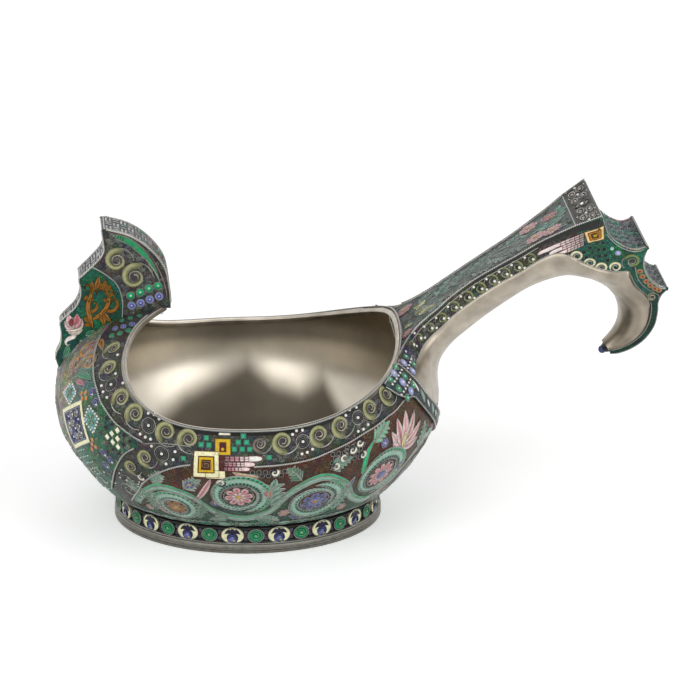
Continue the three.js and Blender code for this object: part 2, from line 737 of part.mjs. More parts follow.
function makeHandleStep(from, to, gap) {
  const line = trimmedStart(topEdge(from, to), gap);
  return cut(stripBody(line, sheet, -1), sideCutters);
}

// belly: a trough hung between the two patterned sides, and the apron on the bowl
function bellyGrid(inset) {
  return stations.map(({ side: [x, z, half], belly: [bx, bz] }) => {
    const depth = Math.hypot(bx - x, bz - z);
    const wall = Math.min(inset, depth * 0.4);
    const reach = 1 - wall / depth;
    const width = half - Math.min(inset, half * 0.4);
    return Array.from({ length: bellySteps + 1 }, (_, k) => {
      const turn = (Math.PI * k) / bellySteps;
      const t = Math.sin(turn) * reach;
      return vec(mix(x, bx, t), -width * Math.cos(turn), mix(z, bz, t));
    });
  });
}

function makeApron() {
  const half = besideLine(collarUpper, apronBeside).slice(collarWireStart)
    .filter(([degrees], i) => degrees > 0 && i % 2 === 0);
  const line = [...half.map(([d, s]) => [-d, s]), ...half.slice().reverse()];
  const grid = (away) => line.map(([degrees, low]) => {
    const top = Math.max(apronTopShare, low + apronThickness / outlineLength);
    return Array.from({ length: apronRows + 1 }, (_, k) =>
      onBowl(radians(degrees), mix(low, top, k / apronRows) * outlineLength, away));
  });
  return sheetBody(grid(clearance + apronThickness), grid(clearance), false);
}

function makeUnderside() {
  const trough = toSolid(sheetBody(bellyGrid(0), bellyGrid(sheet), false)).subtract(bowlCutter);
  const joined = trough.add(toSolid(makeApron()));
  const cutters = [...sideCutters, ...collarCutters, ropeCutter];
  return fromSolid(cutters.reduce((solid, cutter) => solid.subtract(cutter), joined));
}

const beadStretch = 1.8;
function makeTipBead() {
  const { top, belly } = stations[stations.length - 1];
  const along = vec(belly[0] - top[0], 0, belly[1] - top[1]).normalize();
  const middle = vec((top[0] + belly[0]) / 2, 0, (top[1] + belly[1]) / 2);
  const bead = new THREE.SphereGeometry(tipBeadRadius, 12, 8);
  bead.scale(1, beadStretch, 1);
  const away = vec(-along.z, 0, along.x).multiplyScalar(tipBeadRadius + clearance);
  bead.translate(middle.x + away.x, 0, middle.z + away.z);
  return tidied(bead);
}

// wire along the top edge of the handle, above the seam of plate and side
const edgeWireStart = 3;
function handleEdgeWire(side) {
  const line = topEdge(edgeWireStart, handleRows.topTooth);
  const path = line.map(([x, z, half], i) => {
    const ahead = line[Math.min(i + 1, line.length - 1)];
    const behind = line[Math.max(i - 1, 0)];
    const along = vec(ahead[0] - behind[0], 0, ahead[1] - behind[1]).normalize();
    const lift = clearance + wireRadius;
    return vec(x - along.z * lift, side * (half - sheet), z + along.x * lift);
  });
  return wireBody(path, path.map(() => vec(0, 0, 1)), wireRadius, wireSides, false);
}

// assembly
const kovsh = new THREE.Group();
function put(name, geometry, material) {
  const mesh = new THREE.Mesh(geometry, material);
  mesh.name = name;
  kovsh.add(mesh);
}

const upright = (geometry) => geometry.rotateX(Math.PI / 2);
put('bowl', makeBowl(), plainSilver);
put('rim_lip', makeLip(), plainSilver);
put('rim_rope_wire', rimRope(ropeRadius), wireSilver);
put('foot_flange', upright(makeFlange()), plainSilver);
put('foot_band', upright(makeFootBand()), blackEnamel);
put('foot_lower_wire', footRope(footFlangeHeight + clearance + wireRadius), wireSilver);
put('foot_upper_wire', footRope(footFlangeHeight + footBandHeight - wireRadius), wireSilver);

put('prow_near_cheek', makeProwCheek(-1), slateEnamel);
put('prow_far_cheek', makeProwCheek(1), slateEnamel);
put('prow_crest_strip', makeProwCrest(), brocadeSilver);
put('prow_upper_step', makeProwStep(prowToothRows.top, prowToothRows.second), brocadeSilver);
put('prow_middle_step', makeProwStep(prowToothRows.second, prowToothRows.third), brocadeSilver);
put('prow_lower_step', makeProwStep(prowToothRows.third, prowToothRows.foot), brocadeSilver);
put('prow_near_crest_wire', prowCrestWire(-1), wireSilver);
put('prow_far_crest_wire', prowCrestWire(1), wireSilver);

put('handle_underside', makeUnderside(), plainSilver);
put('handle_near_side', makeHandleSide(0), deepGreenEnamel);
put('handle_far_side', makeHandleSide(1), deepGreenEnamel);
put('handle_top_plate', makeTopPlate(), slateEnamel);
put('handle_end_panel', makeEndPanel(), brocadeSilver);
const { topTooth, secondTooth, thirdTooth } = handleRows;
put('handle_upper_step', makeHandleStep(topTooth, secondTooth, strips), brocadeSilver);
put('handle_lower_step', makeHandleStep(secondTooth, thirdTooth, sharpStrips), brocadeSilver);
put('hook_back_strip', makeHandleStep(thirdTooth, stations.length - 1, sharpStrips), deepGreenEnamel);
put('hook_tip_bead', makeTipBead(), blueEnamel);
put('handle_near_edge_wire', handleEdgeWire(-1), wireSilver);
put('handle_far_edge_wire', handleEdgeWire(1), wireSilver);

put('collar_near_strap', makeCollar(-1), deepGreenEnamel);
put('collar_far_strap', makeCollar(1), deepGreenEnamel);
put('collar_near_wire', collarWire(-1), wireSilver);
put('collar_far_wire', collarWire(1), wireSilver);
put('rim_border_near_wire', borderWire(-1, rimBorderShares), wireSilver);
put('rim_border_far_wire', borderWire(1, rimBorderShares), wireSilver);
put('panel_upper_near_wire', borderWire(-1, panelUpperShares), wireSilver);
put('panel_upper_far_wire', borderWire(1, panelUpperShares), wireSilver);
put('panel_lower_near_wire', borderWire(-1, panelLowerShares), wireSilver);
put('panel_lower_far_wire', borderWire(1, panelLowerShares), wireSilver);

// the origin lies on the ground under the middle of the whole piece
const box = new THREE.Box3().setFromObject(kovsh);
kovsh.children.forEach((mesh) => mesh.geometry.translate(-(box.min.x + box.max.x) / 2, 0, 0));

export default kovsh;
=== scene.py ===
import math

import bpy
import numpy as np
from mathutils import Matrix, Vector


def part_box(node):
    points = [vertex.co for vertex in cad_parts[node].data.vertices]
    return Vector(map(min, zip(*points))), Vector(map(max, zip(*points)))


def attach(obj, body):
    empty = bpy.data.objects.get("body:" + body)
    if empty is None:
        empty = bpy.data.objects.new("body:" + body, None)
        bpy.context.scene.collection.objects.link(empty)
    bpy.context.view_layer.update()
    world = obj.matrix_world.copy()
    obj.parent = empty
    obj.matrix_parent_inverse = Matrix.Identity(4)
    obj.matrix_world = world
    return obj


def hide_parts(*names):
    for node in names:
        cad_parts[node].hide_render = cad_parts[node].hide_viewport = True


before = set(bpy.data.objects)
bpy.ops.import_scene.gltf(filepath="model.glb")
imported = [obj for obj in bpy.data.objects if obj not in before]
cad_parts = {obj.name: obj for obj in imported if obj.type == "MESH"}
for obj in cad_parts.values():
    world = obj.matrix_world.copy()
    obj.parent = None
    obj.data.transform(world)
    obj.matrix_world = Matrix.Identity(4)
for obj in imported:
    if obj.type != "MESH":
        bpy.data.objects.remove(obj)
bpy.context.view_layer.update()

# A kovsh: a round silver drinking bowl on a foot ring, with a stepped prow, a hooked
# handle and cell enamel on every outer face. Lengths are millimetres, measured from the
# foot ring's axis; laid() turns them into the shared frame's metres.
# +X runs to the handle, -Y is the near long side, +Z is up. The far side is the near
# side mirrored.

MM = 0.001
flange_low, flange_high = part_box("foot_flange")
FOOT_AXIS = np.array([(flange_low.x + flange_high.x) / 2, 0.0, 0.0])


def laid(points):
    return np.asarray(points, float) * MM + FOOT_AXIS


def linear(hex_colour):
    """An sRGB hex colour as linear red, green and blue."""
    parts = [int(hex_colour[i : i + 2], 16) / 255 for i in (1, 3, 5)]
    return np.array([c / 12.92 if c <= 0.04045 else ((c + 0.055) / 1.055) ** 2.4 for c in parts])


# materials
def link(tree, made, **sources):
    """Feeds a node's inputs: by name with _ for a blank, or by number, as in_1."""
    for key, source in sources.items():
        place = int(key[3:]) if key.startswith("in_") else key.replace("_", " ")
        start = source if isinstance(source, bpy.types.NodeSocket) else source.outputs[0]
        tree.links.new(start, made.inputs[place])


def node(tree, kind, settings=None, **sources):
    """Adds one shader node, with its settings and links."""
    made = tree.nodes.new("ShaderNode" + kind)
    for key, value in (settings or {}).items():
        if isinstance(key, str) and hasattr(made, key):
            setattr(made, key, value)
        else:
            made.inputs[key].default_value = value
    link(tree, made, **sources)
    return made


def surface_material(name, settings):
    material = bpy.data.materials.new(name)
    material.use_nodes = True
    shader = material.node_tree.nodes["Principled BSDF"]
    for key, value in settings.items():
        shader.inputs[key].default_value = value
    return material, material.node_tree, shader


def tinted(tree, shader, mottle_mm, low, high):
    """Base colour: the mesh's own tint, mottled by a soft noise of the given size."""
    place = node(tree, "TexCoord").outputs["Object"]
    noise = node(tree, "TexNoise", {"Scale": 1 / (mottle_mm * MM), "Detail": 4.0}, Vector=place)
    limits = {"From Min": 0.3, "From Max": 0.7, "To Min": low, "To Max": high}
    level = node(tree, "MapRange", limits, Value=noise)
    tint = node(tree, "Attribute", {"attribute_name": "tint"})
    shade = node(tree, "VectorMath", {"operation": "SCALE"}, Vector=tint, Scale=level)
    link(tree, shader, Base_Color=shade)
    return place


def bumped(tree, shader, place, size_mm, strength, height_mm):
    """Fine unevenness of the surface, from noise of a real size."""
    noise = node(tree, "TexNoise", {"Scale": 1 / (size_mm * MM), "Detail": 3.0}, Vector=place)
    settings = {"Strength": strength, "Distance": height_mm * MM}
    link(tree, shader, Normal=node(tree, "Bump", settings, Height=noise))


def make_enamel(name, roughness, gloss):
    # vitreous enamel fired in cells and stoned level: glassy, with a soft wavy gloss
    # and faint clouds in each colour
    settings = {"Roughness": roughness, "IOR": 1.5, "Specular IOR Level": gloss}
    material, tree, shader = surface_material(name, settings)
    place = tinted(tree, shader, 1.1, 0.8, 1.18)
    bumped(tree, shader, place, 0.9, 0.35, 0.12)
    return material


def make_ground_enamel(name):
    # dark enamel round fine tooled scrolls: pale hair lines about 1 mm apart wander
    # through the colour and stand a little above it
    settings = {"Roughness": 0.42, "IOR": 1.5, "Specular IOR Level": 0.25}
    material, tree, shader = surface_material(name, settings)
    place = node(tree, "TexCoord").outputs["Object"]
    tint = node(tree, "Attribute", {"attribute_name": "tint"})
    turns = {"Scale": 1 / (2.4 * MM), "Detail": 1.0, "Distortion": 0.8}
    swirl = node(tree, "TexNoise", turns, Vector=place)
    times = node(tree, "Math", {"operation": "MULTIPLY", 1: 7.0}, Value=swirl)
    wave = node(tree, "Math", {"operation": "PINGPONG", 1: 0.5}, Value=times)
    limits = {"From Min": 0.02, "From Max": 0.16, "To Min": 1.0, "To Max": 0.0}
    line = node(tree, "MapRange", limits, Value=wave)
    cloud = node(tree, "TexNoise", {"Scale": 1 / (1.6 * MM), "Detail": 4.0}, Vector=place)
    limits = {"From Min": 0.3, "From Max": 0.7, "To Min": 0.45, "To Max": 1.25}
    level = node(tree, "MapRange", limits, Value=cloud)
    lit = node(tree, "Math", {"operation": "MULTIPLY_ADD", 1: 2.3}, Value=line, in_2=level)
    # the ground's colour drifts a little from place to place
    drift = node(tree, "TexNoise", {"Scale": 1 / (5.0 * MM), "Detail": 2.0}, Vector=place)
    spread = {"operation": "MULTIPLY_ADD", 1: (2.2, 2.2, 2.2), 2: (-0.12, -0.12, -0.12)}
    hue = node(tree, "VectorMath", spread, Vector=drift.outputs["Color"])
    own = node(tree, "VectorMath", {"operation": "MULTIPLY"}, Vector=tint, in_1=hue)
    shaded = node(tree, "VectorMath", {"operation": "SCALE"}, Vector=own, Scale=lit)
    safe = node(tree, "VectorMath", {"operation": "MAXIMUM", 1: (0.002, 0.002, 0.002)}, Vector=shaded)
    bump = node(tree, "Bump", {"Strength": 0.6, "Distance": 0.1 * MM}, Height=line)
    link(tree, shader, Base_Color=safe, Normal=bump)
    return material


def make_silver(name, roughness, grain_mm, grain_strength, mottle_mm, low, high):
    material, tree, shader = surface_material(name, {"Metallic": 1.0, "Roughness": roughness})
    place = tinted(tree, shader, mottle_mm, low, high)
    bumped(tree, shader, place, grain_mm, grain_strength, 0.05)
    return material


# enamel in its cells: glossy, clear colours
ENAMEL = make_enamel("cell_enamel", 0.25, 0.3)
# the dark grounds between the cells, full of hair-fine scrolls
GROUND = make_ground_enamel("tooled_ground_enamel")
# spun and planished silver of the bowl: soft broad reflections, warm grey
BOWL_FINISH = make_silver("spun_silver", 0.35, 0.8, 0.06, 18.0, 0.86, 1.08)
# handled silver, softly worn: wide blurred reflections and grey patina clouds
PLAIN_SILVER = make_silver("worn_silver", 0.36, 0.8, 0.10, 7.0, 0.70, 1.08)
# drawn and twisted silver wire, dark where the strands meet
WIRE_SILVER = make_silver("twisted_silver_wire", 0.36, 0.3, 0.15, 3.0, 0.85, 1.12)
# oxidised silver, chased and left dark in its hollows
DARK_SILVER = make_silver("oxidised_silver", 0.42, 0.3, 0.3, 2.0, 0.75, 1.15)

SILVER = linear("#b9b0a2")
BOWL_SILVER = linear("#cfc7b8")
WIRE_HIGH = linear("#c9c8c2")
WIRE_LOW = linear("#2f3033")
INK_LOW = linear("#141416")
CURL_GREY, CURL_GREEN = linear("#8c8f90"), linear("#5f8f7c")
SLATE = linear("#343532")
DEEP_GREEN = linear("#12503d")
NIGHT = linear("#0d1512")


# mesh building
class Pile:
    """Gathers points, faces and tints of many small parts into one mesh."""

    def __init__(self):
        self.points, self.faces, self.tints, self.count = [], [], [], 0

    def add(self, points, faces, tint):
        points = np.asarray(points, float).reshape(-1, 3)
        tint = np.broadcast_to(np.asarray(tint, float), (len(points), 3))
        self.points.append(points)
        self.tints.append(tint)
        for block in faces if isinstance(faces, list) else [faces]:
            if len(block):
                self.faces.append(np.asarray(block, int) + self.count)
        self.count += len(points)

    def joined(self):
        return np.concatenate(self.points), self.faces, np.concatenate(self.tints)

    def mirrored(self):
        other = Pile()
        points, faces, tints = self.joined()
        other.add(points * [1, -1, 1], [block[:, ::-1] for block in faces], tints)
        return other


def piece(name, pile, material, slot, stands_for=(), sharp=50.0):
    """Makes one object from a pile, hangs it under the root body, and hides the nodes it stands for."""
    points, faces, tints = pile.joined()
    mesh = bpy.data.meshes.new(name)
    mesh.vertices.add(len(points))
    mesh.vertices.foreach_set("co", laid(points).astype(np.float32).ravel())
    corners = np.concatenate([block.ravel() for block in faces])
    sizes = np.concatenate([np.full(len(block), block.shape[1]) for block in faces])
    mesh.loops.add(len(corners))
    mesh.loops.foreach_set("vertex_index", corners.astype(np.int32))
    mesh.polygons.add(len(sizes))
    starts = np.concatenate([[0], np.cumsum(sizes)[:-1]])
    mesh.polygons.foreach_set("loop_start", starts.astype(np.int32))
    mesh.update(calc_edges=True)
    colours = mesh.color_attributes.new("tint", "FLOAT_COLOR", "POINT")
    rgba = np.concatenate([tints, np.ones((len(tints), 1))], axis=1)
    colours.data.foreach_set("color", rgba.astype(np.float32).ravel())
    mesh.shade_smooth()
    mesh.set_sharp_from_angle(angle=math.radians(sharp))
    mesh.materials.append(material)
    made = bpy.data.objects.new(name, mesh)
    bpy.context.scene.collection.objects.link(made)
    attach(made, "root")
    if stands_for:
        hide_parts(*stands_for)
    return made


def pair(name, pile, material, slot, stands_for=(), sharp=50.0):
    """A near piece and its mirrored far one. A replaced node has SIDE in its name."""
    for side, own in (("near", pile), ("far", pile.mirrored())):
        nodes = [n.replace("SIDE", side) for n in stands_for]
        piece(f"{name}_{side}", own, material, slot, nodes, sharp)


def grid_faces(rows, columns, wrap_rows=False, wrap_columns=False):
    i = np.arange(rows if wrap_rows else rows - 1)[:, None]
    j = np.arange(columns if wrap_columns else columns - 1)[None, :]
    i2, j2 = (i + 1) % rows, (j + 1) % columns
    corner = [i * columns + j, i2 * columns + j, i2 * columns + j2, i * columns + j2]
    return np.stack([c.ravel() for c in corner], axis=1)


def tube(rings, ends=None):
    """Points and faces of a tube through rings of points. A fan of faces closes it to a
    middle point at each of its `ends`; without them it runs round into itself."""
    count, sides = rings.shape[:2]
    points = rings.reshape(-1, 3)
    faces = [grid_faces(count, sides, wrap_rows=ends is None, wrap_columns=True)]
    if ends is None:
        return points, faces
    k = np.arange(sides)
    after = (k + 1) % sides
    first, last = np.full(sides, len(points)), np.full(sides, len(points) + 1)
    base = (count - 1) * sides
    faces += [np.stack([k, after, first], axis=1), np.stack([base + after, base + k, last], axis=1)]
    return np.vstack([points, ends]), faces


def add_sheet(pile, outer, inner, tint, keep=None, inner_tint=None, wrap_rows=False):
    """A sheet between two matching grids of points, closed along every edge."""
    rows, columns = outer.shape[:2]
    faces = grid_faces(rows, columns, wrap_rows)
    if keep is not None:
        faces = faces[np.asarray(keep, bool).ravel()[faces].all(axis=1)]
    edges = np.concatenate([faces[:, [k, (k + 1) % 4]] for k in range(4)])
    keys = edges.min(axis=1) * rows * columns + edges.max(axis=1)
    _, first, times = np.unique(keys, return_index=True, return_counts=True)
    rim = edges[first[times == 1]]
    size = rows * columns
    walls = np.stack([rim[:, 1], rim[:, 0], rim[:, 0] + size, rim[:, 1] + size], axis=1)
    used = np.unique(faces)
    place = np.full(2 * size, -1)
    both = np.concatenate([used, used + size])
    place[both] = np.arange(len(both))
    blocks = [place[faces], place[faces[:, ::-1] + size], place[walls]]
    points = np.concatenate([outer.reshape(-1, 3), inner.reshape(-1, 3)])[both]
    tints = np.broadcast_to(tint, outer.shape).reshape(-1, 3)
    low = tints if inner_tint is None else np.broadcast_to(inner_tint, outer.shape).reshape(-1, 3)
    pile.add(points, blocks, np.concatenate([tints, low])[both])


ROPE_FLAT = 0.62  # how flat a twisted wire's oval section is


def unit(vectors):
    return vectors / np.maximum(np.linalg.norm(vectors, axis=-1, keepdims=True), 1e-9)


def add_rope(pile, path, outward, radius, turn_mm, sides=8, flat=ROPE_FLAT, closed=False,
             high=WIRE_HIGH, low=WIRE_LOW, steps=10):
    """Two twisted strands along a path: an oval section that turns as it goes."""
    path = np.asarray(path, float)
    outward = np.broadcast_to(outward, path.shape)
    if closed:
        path = np.vstack([path, path[:1]])
        outward = np.vstack([outward, outward[:1]])
    way = np.concatenate([[0], np.cumsum(np.linalg.norm(np.diff(path, axis=0), axis=1))])
    turns = max(1, round(way[-1] / turn_mm)) if closed else way[-1] / turn_mm
    count = max(4, int(math.ceil(turns * steps)))
    at = np.linspace(0, way[-1], count + 1)
    middle = np.stack([np.interp(at, way, path[:, k]) for k in range(3)], axis=1)
    up = unit(np.stack([np.interp(at, way, outward[:, k]) for k in range(3)], axis=1))
    if closed:
        middle, up, at = middle[:-1], up[:-1], at[:-1]
        along = unit(np.roll(middle, -1, axis=0) - np.roll(middle, 1, axis=0))
    else:
        along = unit(np.gradient(middle, axis=0))
    across = unit(np.cross(along, up))
    up = np.cross(across, along)
    spin = 2 * math.pi * (at / way[-1] * turns)[:, None]
    ring = (2 * math.pi * np.arange(sides) / sides)[None, :]
    a, b = radius * np.cos(ring), radius * flat * np.sin(ring)
    side_way = a * np.cos(spin) - b * np.sin(spin)
    up_way = a * np.sin(spin) + b * np.cos(spin)
    points = middle[:, None] + side_way[..., None] * across[:, None] + up_way[..., None] * up[:, None]
    # the tint paints sheen on the strands' crowns and shade in the groove where they meet, with patina
    # there too
    shine = np.abs(np.cos(ring)) ** 0.7 * np.ones_like(spin)
    tints = low + (high - low) * shine[..., None]
    points, faces = tube(points, None if closed else [middle[0], middle[-1]])
    faces[0] = np.roll(faces[0], -1, axis=1)  # so that each face folds along the twist
    tints = tints.reshape(-1, 3)
    if not closed:
        tints = np.vstack([tints, tints[:1], tints[-1:]])
    pile.add(points, faces, tints)


def through(rows, steps, corners=()):
    """Centripetal curve through rows of numbers, `steps` samples to a span."""
    rows = np.asarray(rows, float)
    last = len(rows) - 1
    out = []
    for i in range(last):
        p1, p2 = rows[i], rows[i + 1]
        p0 = 2 * p1 - p2 if i == 0 or i in corners else rows[i - 1]
        p3 = 2 * p2 - p1 if i + 1 == last or i + 1 in corners else rows[i + 2]
        d0, d1, d2 = (max(np.linalg.norm(b - a), 1e-6) ** 0.5 for a, b in ((p0, p1), (p1, p2), (p2, p3)))
        t1 = ((p1 - p0) / d0 - (p2 - p0) / (d0 + d1) + (p2 - p1) / d1) * d1
        t2 = ((p2 - p1) / d1 - (p3 - p1) / (d1 + d2) + (p3 - p2) / d2) * d1
        t = (np.arange(steps) / steps)[:, None]
        out.append(p1 + t1 * t + (3 * (p2 - p1) - 2 * t1 - t2) * t**2 + (2 * (p1 - p2) + t1 + t2) * t**3)
    out.append(rows[-1:])
    return np.concatenate(out)


def way_along(points):
    return np.concatenate([[0], np.cumsum(np.linalg.norm(np.diff(points, axis=0), axis=1))])


# sizes of the vessel
BOWL_RADIUS, BOWL_HEIGHT, BOWL_WALL, BOWL_SAG = 75.0, 78.4, 1.3, 2.4
FOOT_HEIGHT, FOOT_JOINT = 10.6, 50.5
FOOT_OUT, FOOT_IN, FLANGE_HEIGHT, BAND_RADIUS, BAND_TOP = 52.5, 48.3, 3.8, 51.2, 10.3
# way up the wall to the mouth's edge, as shares of the whole outline
MOUTH_DIP, MOUTH_HANDLE, MOUTH_PROW, MOUTH_CAP = 0.39225, 0.18244, 0.42102, 0.77328
LIP_WIDTH, LIP_OVERHANG, GAP = 2.4, 0.9, 0.3
ROPE, WIRE, SHEET = 0.55, 0.4, 1.2
PROW_FOOT, PROW_HEIGHT, PROW_HALF = 60.0, 58.8, 9.75
HANDLE_X, HANDLE_Z, HANDLE_LENGTH, HANDLE_RISE, HEAD_HALF = 57.0, 73.0, 106.2, 51.6, 28.3

# bowl outline: radius and height above the foot, as shares
BOWL_SHARES = [
    (0.6733, 0), (0.752, 0.0434), (0.84, 0.1352), (0.928, 0.2513), (0.9787, 0.3495),
    (0.9987, 0.4452), (0.9987, 0.5281), (0.9733, 0.6492), (0.8907, 0.7577), (0.8027, 0.8316),
    (0.6667, 0.9107), (0.5373, 0.9515), (0.4293, 0.9745), (0.2667, 0.9923), (0, 1),
]
FLOOR_SHARES = [(0, 1), (0.2, 0.97), (0.35, 0.9), (0.55, 0.7), (0.7, 0.45), (0.85, 0.18), (0.93, 0)]

# prow cheek from the top down: height, toothed edge X and half-width, crest X and half-width
PROW_SHARES = np.array([
    (0.9949, -0.7453, 1, -0.7253, 1), (0.9524, -0.7413, 0.9719, -0.6133, 0.996),
    (0.8963, -0.736, 0.9347, -0.5405, 0.9894), (0.8486, -0.7333, 0.9032, -0.4985, 0.9838),
    (0.801, -0.7493, 0.8717, -0.4649, 0.9783), (0.7347, -0.7973, 0.8278, -0.4316, 0.9705),
    (0.6837, -0.8387, 0.794, -0.4172, 0.9645), (0.6514, -0.8653, 0.7726, -0.4127, 0.9583),
    (0.6361, -0.864, 0.7572, -0.4105, 0.9552), (0.5646, -0.8547, 0.6729, -0.4026, 0.9409),
    (0.5085, -0.86, 0.6067, -0.3994, 0.9296), (0.4473, -0.8827, 0.5344, -0.3973, 0.9231),
    (0.3946, -0.924, 0.4722, -0.3973, 0.9231), (0.3503, -0.9587, 0.4201, -0.3973, 0.9231),
    (0.3333, -0.9667, 0.4, -0.3973, 0.9231), (0.3231, -0.9653, 0.389, -0.3973, 0.9231),
    (0.2449, -0.9587, 0.3048, -0.3973, 0.9231), (0.1752, -0.9653, 0.2405, -0.3973, 0.9231),
    (0.1276, -0.984, 0.1974, -0.3973, 0.9231), (0.0867, -0.9907, 0.1605, -0.3973, 0.9231),
    (0.0442, -0.9853, 0.1292, -0.3973, 0.9231), (0, -0.9707, 0.1026, -0.3973, 0.9231),
])
PROW_TEETH = (0, 7, 14, 21)
PROW_STEPS = 6  # samples to a row of the table, and HANDLE_STEPS the same for the handle
HANDLE_STEPS = 10

# handle stations: top edge X, Z, half-width; lower edge of the side X, Z, half-width;
# belly line X, Z
HANDLE_SHARES = np.array([
    (0, -0.008, 1.201, 0.009, -0.136, 1.413, 0.16, -0.523),
    (0.014, 0.017, 1.06, 0.03, -0.147, 1.29, 0.16, -0.465),
    (0.028, 0.039, 0.919, 0.05, -0.143, 1.131, 0.159, -0.407),
    (0.052, 0.079, 0.76, 0.071, -0.101, 0.883, 0.158, -0.291),
    (0.081, 0.126, 0.643, 0.094, -0.035, 0.693, 0.169, -0.203),
    (0.118, 0.18, 0.572, 0.127, 0.031, 0.594, 0.192, -0.128),
    (0.153, 0.231, 0.527, 0.164, 0.089, 0.537, 0.221, -0.062),
    (0.2, 0.308, 0.47, 0.209, 0.169, 0.477, 0.266, 0.012),
    (0.291, 0.44, 0.438, 0.301, 0.308, 0.442, 0.344, 0.136),
    (0.38, 0.554, 0.477, 0.386, 0.426, 0.473, 0.424, 0.252),
    (0.454, 0.647, 0.523, 0.46, 0.516, 0.512, 0.48, 0.328),
    (0.519, 0.736, 0.58, 0.523, 0.609, 0.562, 0.523, 0.372),
    (0.594, 0.831, 0.7, 0.584, 0.671, 0.643, 0.57, 0.411),
    (0.653, 0.907, 0.827, 0.635, 0.657, 0.689, 0.619, 0.442),
    (0.697, 0.955, 0.919, 0.672, 0.612, 0.668, 0.652, 0.446),
    (0.737, 1, 1, 0.702, 0.581, 0.654, 0.678, 0.438),
    (0.747, 0.936, 0.915, 0.725, 0.56, 0.647, 0.702, 0.428),
    (0.761, 0.86, 0.862, 0.749, 0.543, 0.64, 0.72, 0.419),
    (0.791, 0.783, 0.816, 0.772, 0.529, 0.636, 0.744, 0.397),
    (0.83, 0.727, 0.788, 0.796, 0.521, 0.636, 0.767, 0.372),
    (0.872, 0.703, 0.777, 0.823, 0.519, 0.64, 0.783, 0.349),
    (0.916, 0.733, 0.809, 0.85, 0.517, 0.643, 0.798, 0.324),
    (0.904, 0.649, 0.749, 0.859, 0.484, 0.625, 0.807, 0.304),
    (0.904, 0.581, 0.703, 0.866, 0.452, 0.604, 0.815, 0.283),
    (0.915, 0.504, 0.65, 0.876, 0.413, 0.58, 0.822, 0.266),
    (0.942, 0.426, 0.604, 0.892, 0.37, 0.555, 0.829, 0.246),
    (0.976, 0.378, 0.587, 0.904, 0.343, 0.541, 0.833, 0.227),
    (1, 0.372, 0.594, 0.915, 0.318, 0.527, 0.836, 0.209),
    (0.978, 0.314, 0.537, 0.927, 0.287, 0.505, 0.84, 0.186),
    (0.968, 0.246, 0.488, 0.938, 0.24, 0.477, 0.843, 0.163),
    (0.969, 0.178, 0.442, 0.942, 0.171, 0.431, 0.846, 0.107),
    (0.96, 0.043, 0.35, 0.934, 0.054, 0.35, 0.842, 0.037),
    (0.927, -0.081, 0.254, 0.906, -0.054, 0.265, 0.825, -0.039),
    (0.881, -0.161, 0.191, 0.87, -0.12, 0.208, 0.806, -0.091),
    (0.834, -0.202, 0.155, 0.831, -0.161, 0.166, 0.792, -0.122),
    (0.806, -0.209, 0.141, 0.803, -0.176, 0.148, 0.785, -0.138),
])
END_PANEL, TOP_TOOTH, SECOND_TOOTH, THIRD_TOOTH = 13, 15, 21, 27

# lines on the bowl: degrees from the handle, share of the way up the wall
COLLAR_SHARES = np.array([
    (45.5, 0.452, 0.462), (42, 0.425, 0.474), (38, 0.408, 0.486), (34, 0.4, 0.496),
    (32, 0.383, 0.466), (30, 0.366, 0.432), (28, 0.35, 0.404), (24, 0.322, 0.37),
    (20, 0.297, 0.345), (15, 0.268, 0.314), (10, 0.243, 0.288), (5, 0.222, 0.266),
    (0, 0.205, 0.248),
])
RIM_BORDER = np.array([
    (47.5, 0.377), (52.8, 0.36), (57.5, 0.348), (61.9, 0.334), (68.4, 0.317), (74.2, 0.302),
    (83.4, 0.293), (92.3, 0.29), (101, 0.287), (109.1, 0.29), (113.1, 0.282), (117.7, 0.265),
    (121.3, 0.246), (124.3, 0.226), (128, 0.196), (131, 0.164), (135, 0.13), (139.2, 0.097),
])
# the border's last stretch up to the collar
BORDER_TAIL = np.array([(37.2, 0.4063), (39.3, 0.4024), (40.9, 0.3956), (43.0, 0.3871), (45.4, 0.3803),
                        (47.4, 0.3772)])
PANEL_UPPER = np.array([
    (174.7, 0.652), (172.1, 0.612), (166.9, 0.573), (160.4, 0.535), (154.5, 0.498),
    (149.2, 0.463), (145.6, 0.441), (142.1, 0.415), (139, 0.396), (135.4, 0.374),
    (132.1, 0.361), (128.9, 0.349), (124.7, 0.336),
])
PANEL_LOWER = np.array([
    (127.7, 0.314), (131.1, 0.294), (133.6, 0.27), (136.2, 0.241), (139, 0.209), (142, 0.176),
    (145, 0.148), (147.9, 0.122),
])

outline = through(
    [(r * BOWL_RADIUS, FOOT_HEIGHT + z * BOWL_HEIGHT) for r, z in BOWL_SHARES], 24
)
outline_way = way_along(outline)
WALL_LENGTH = outline_way[-1]


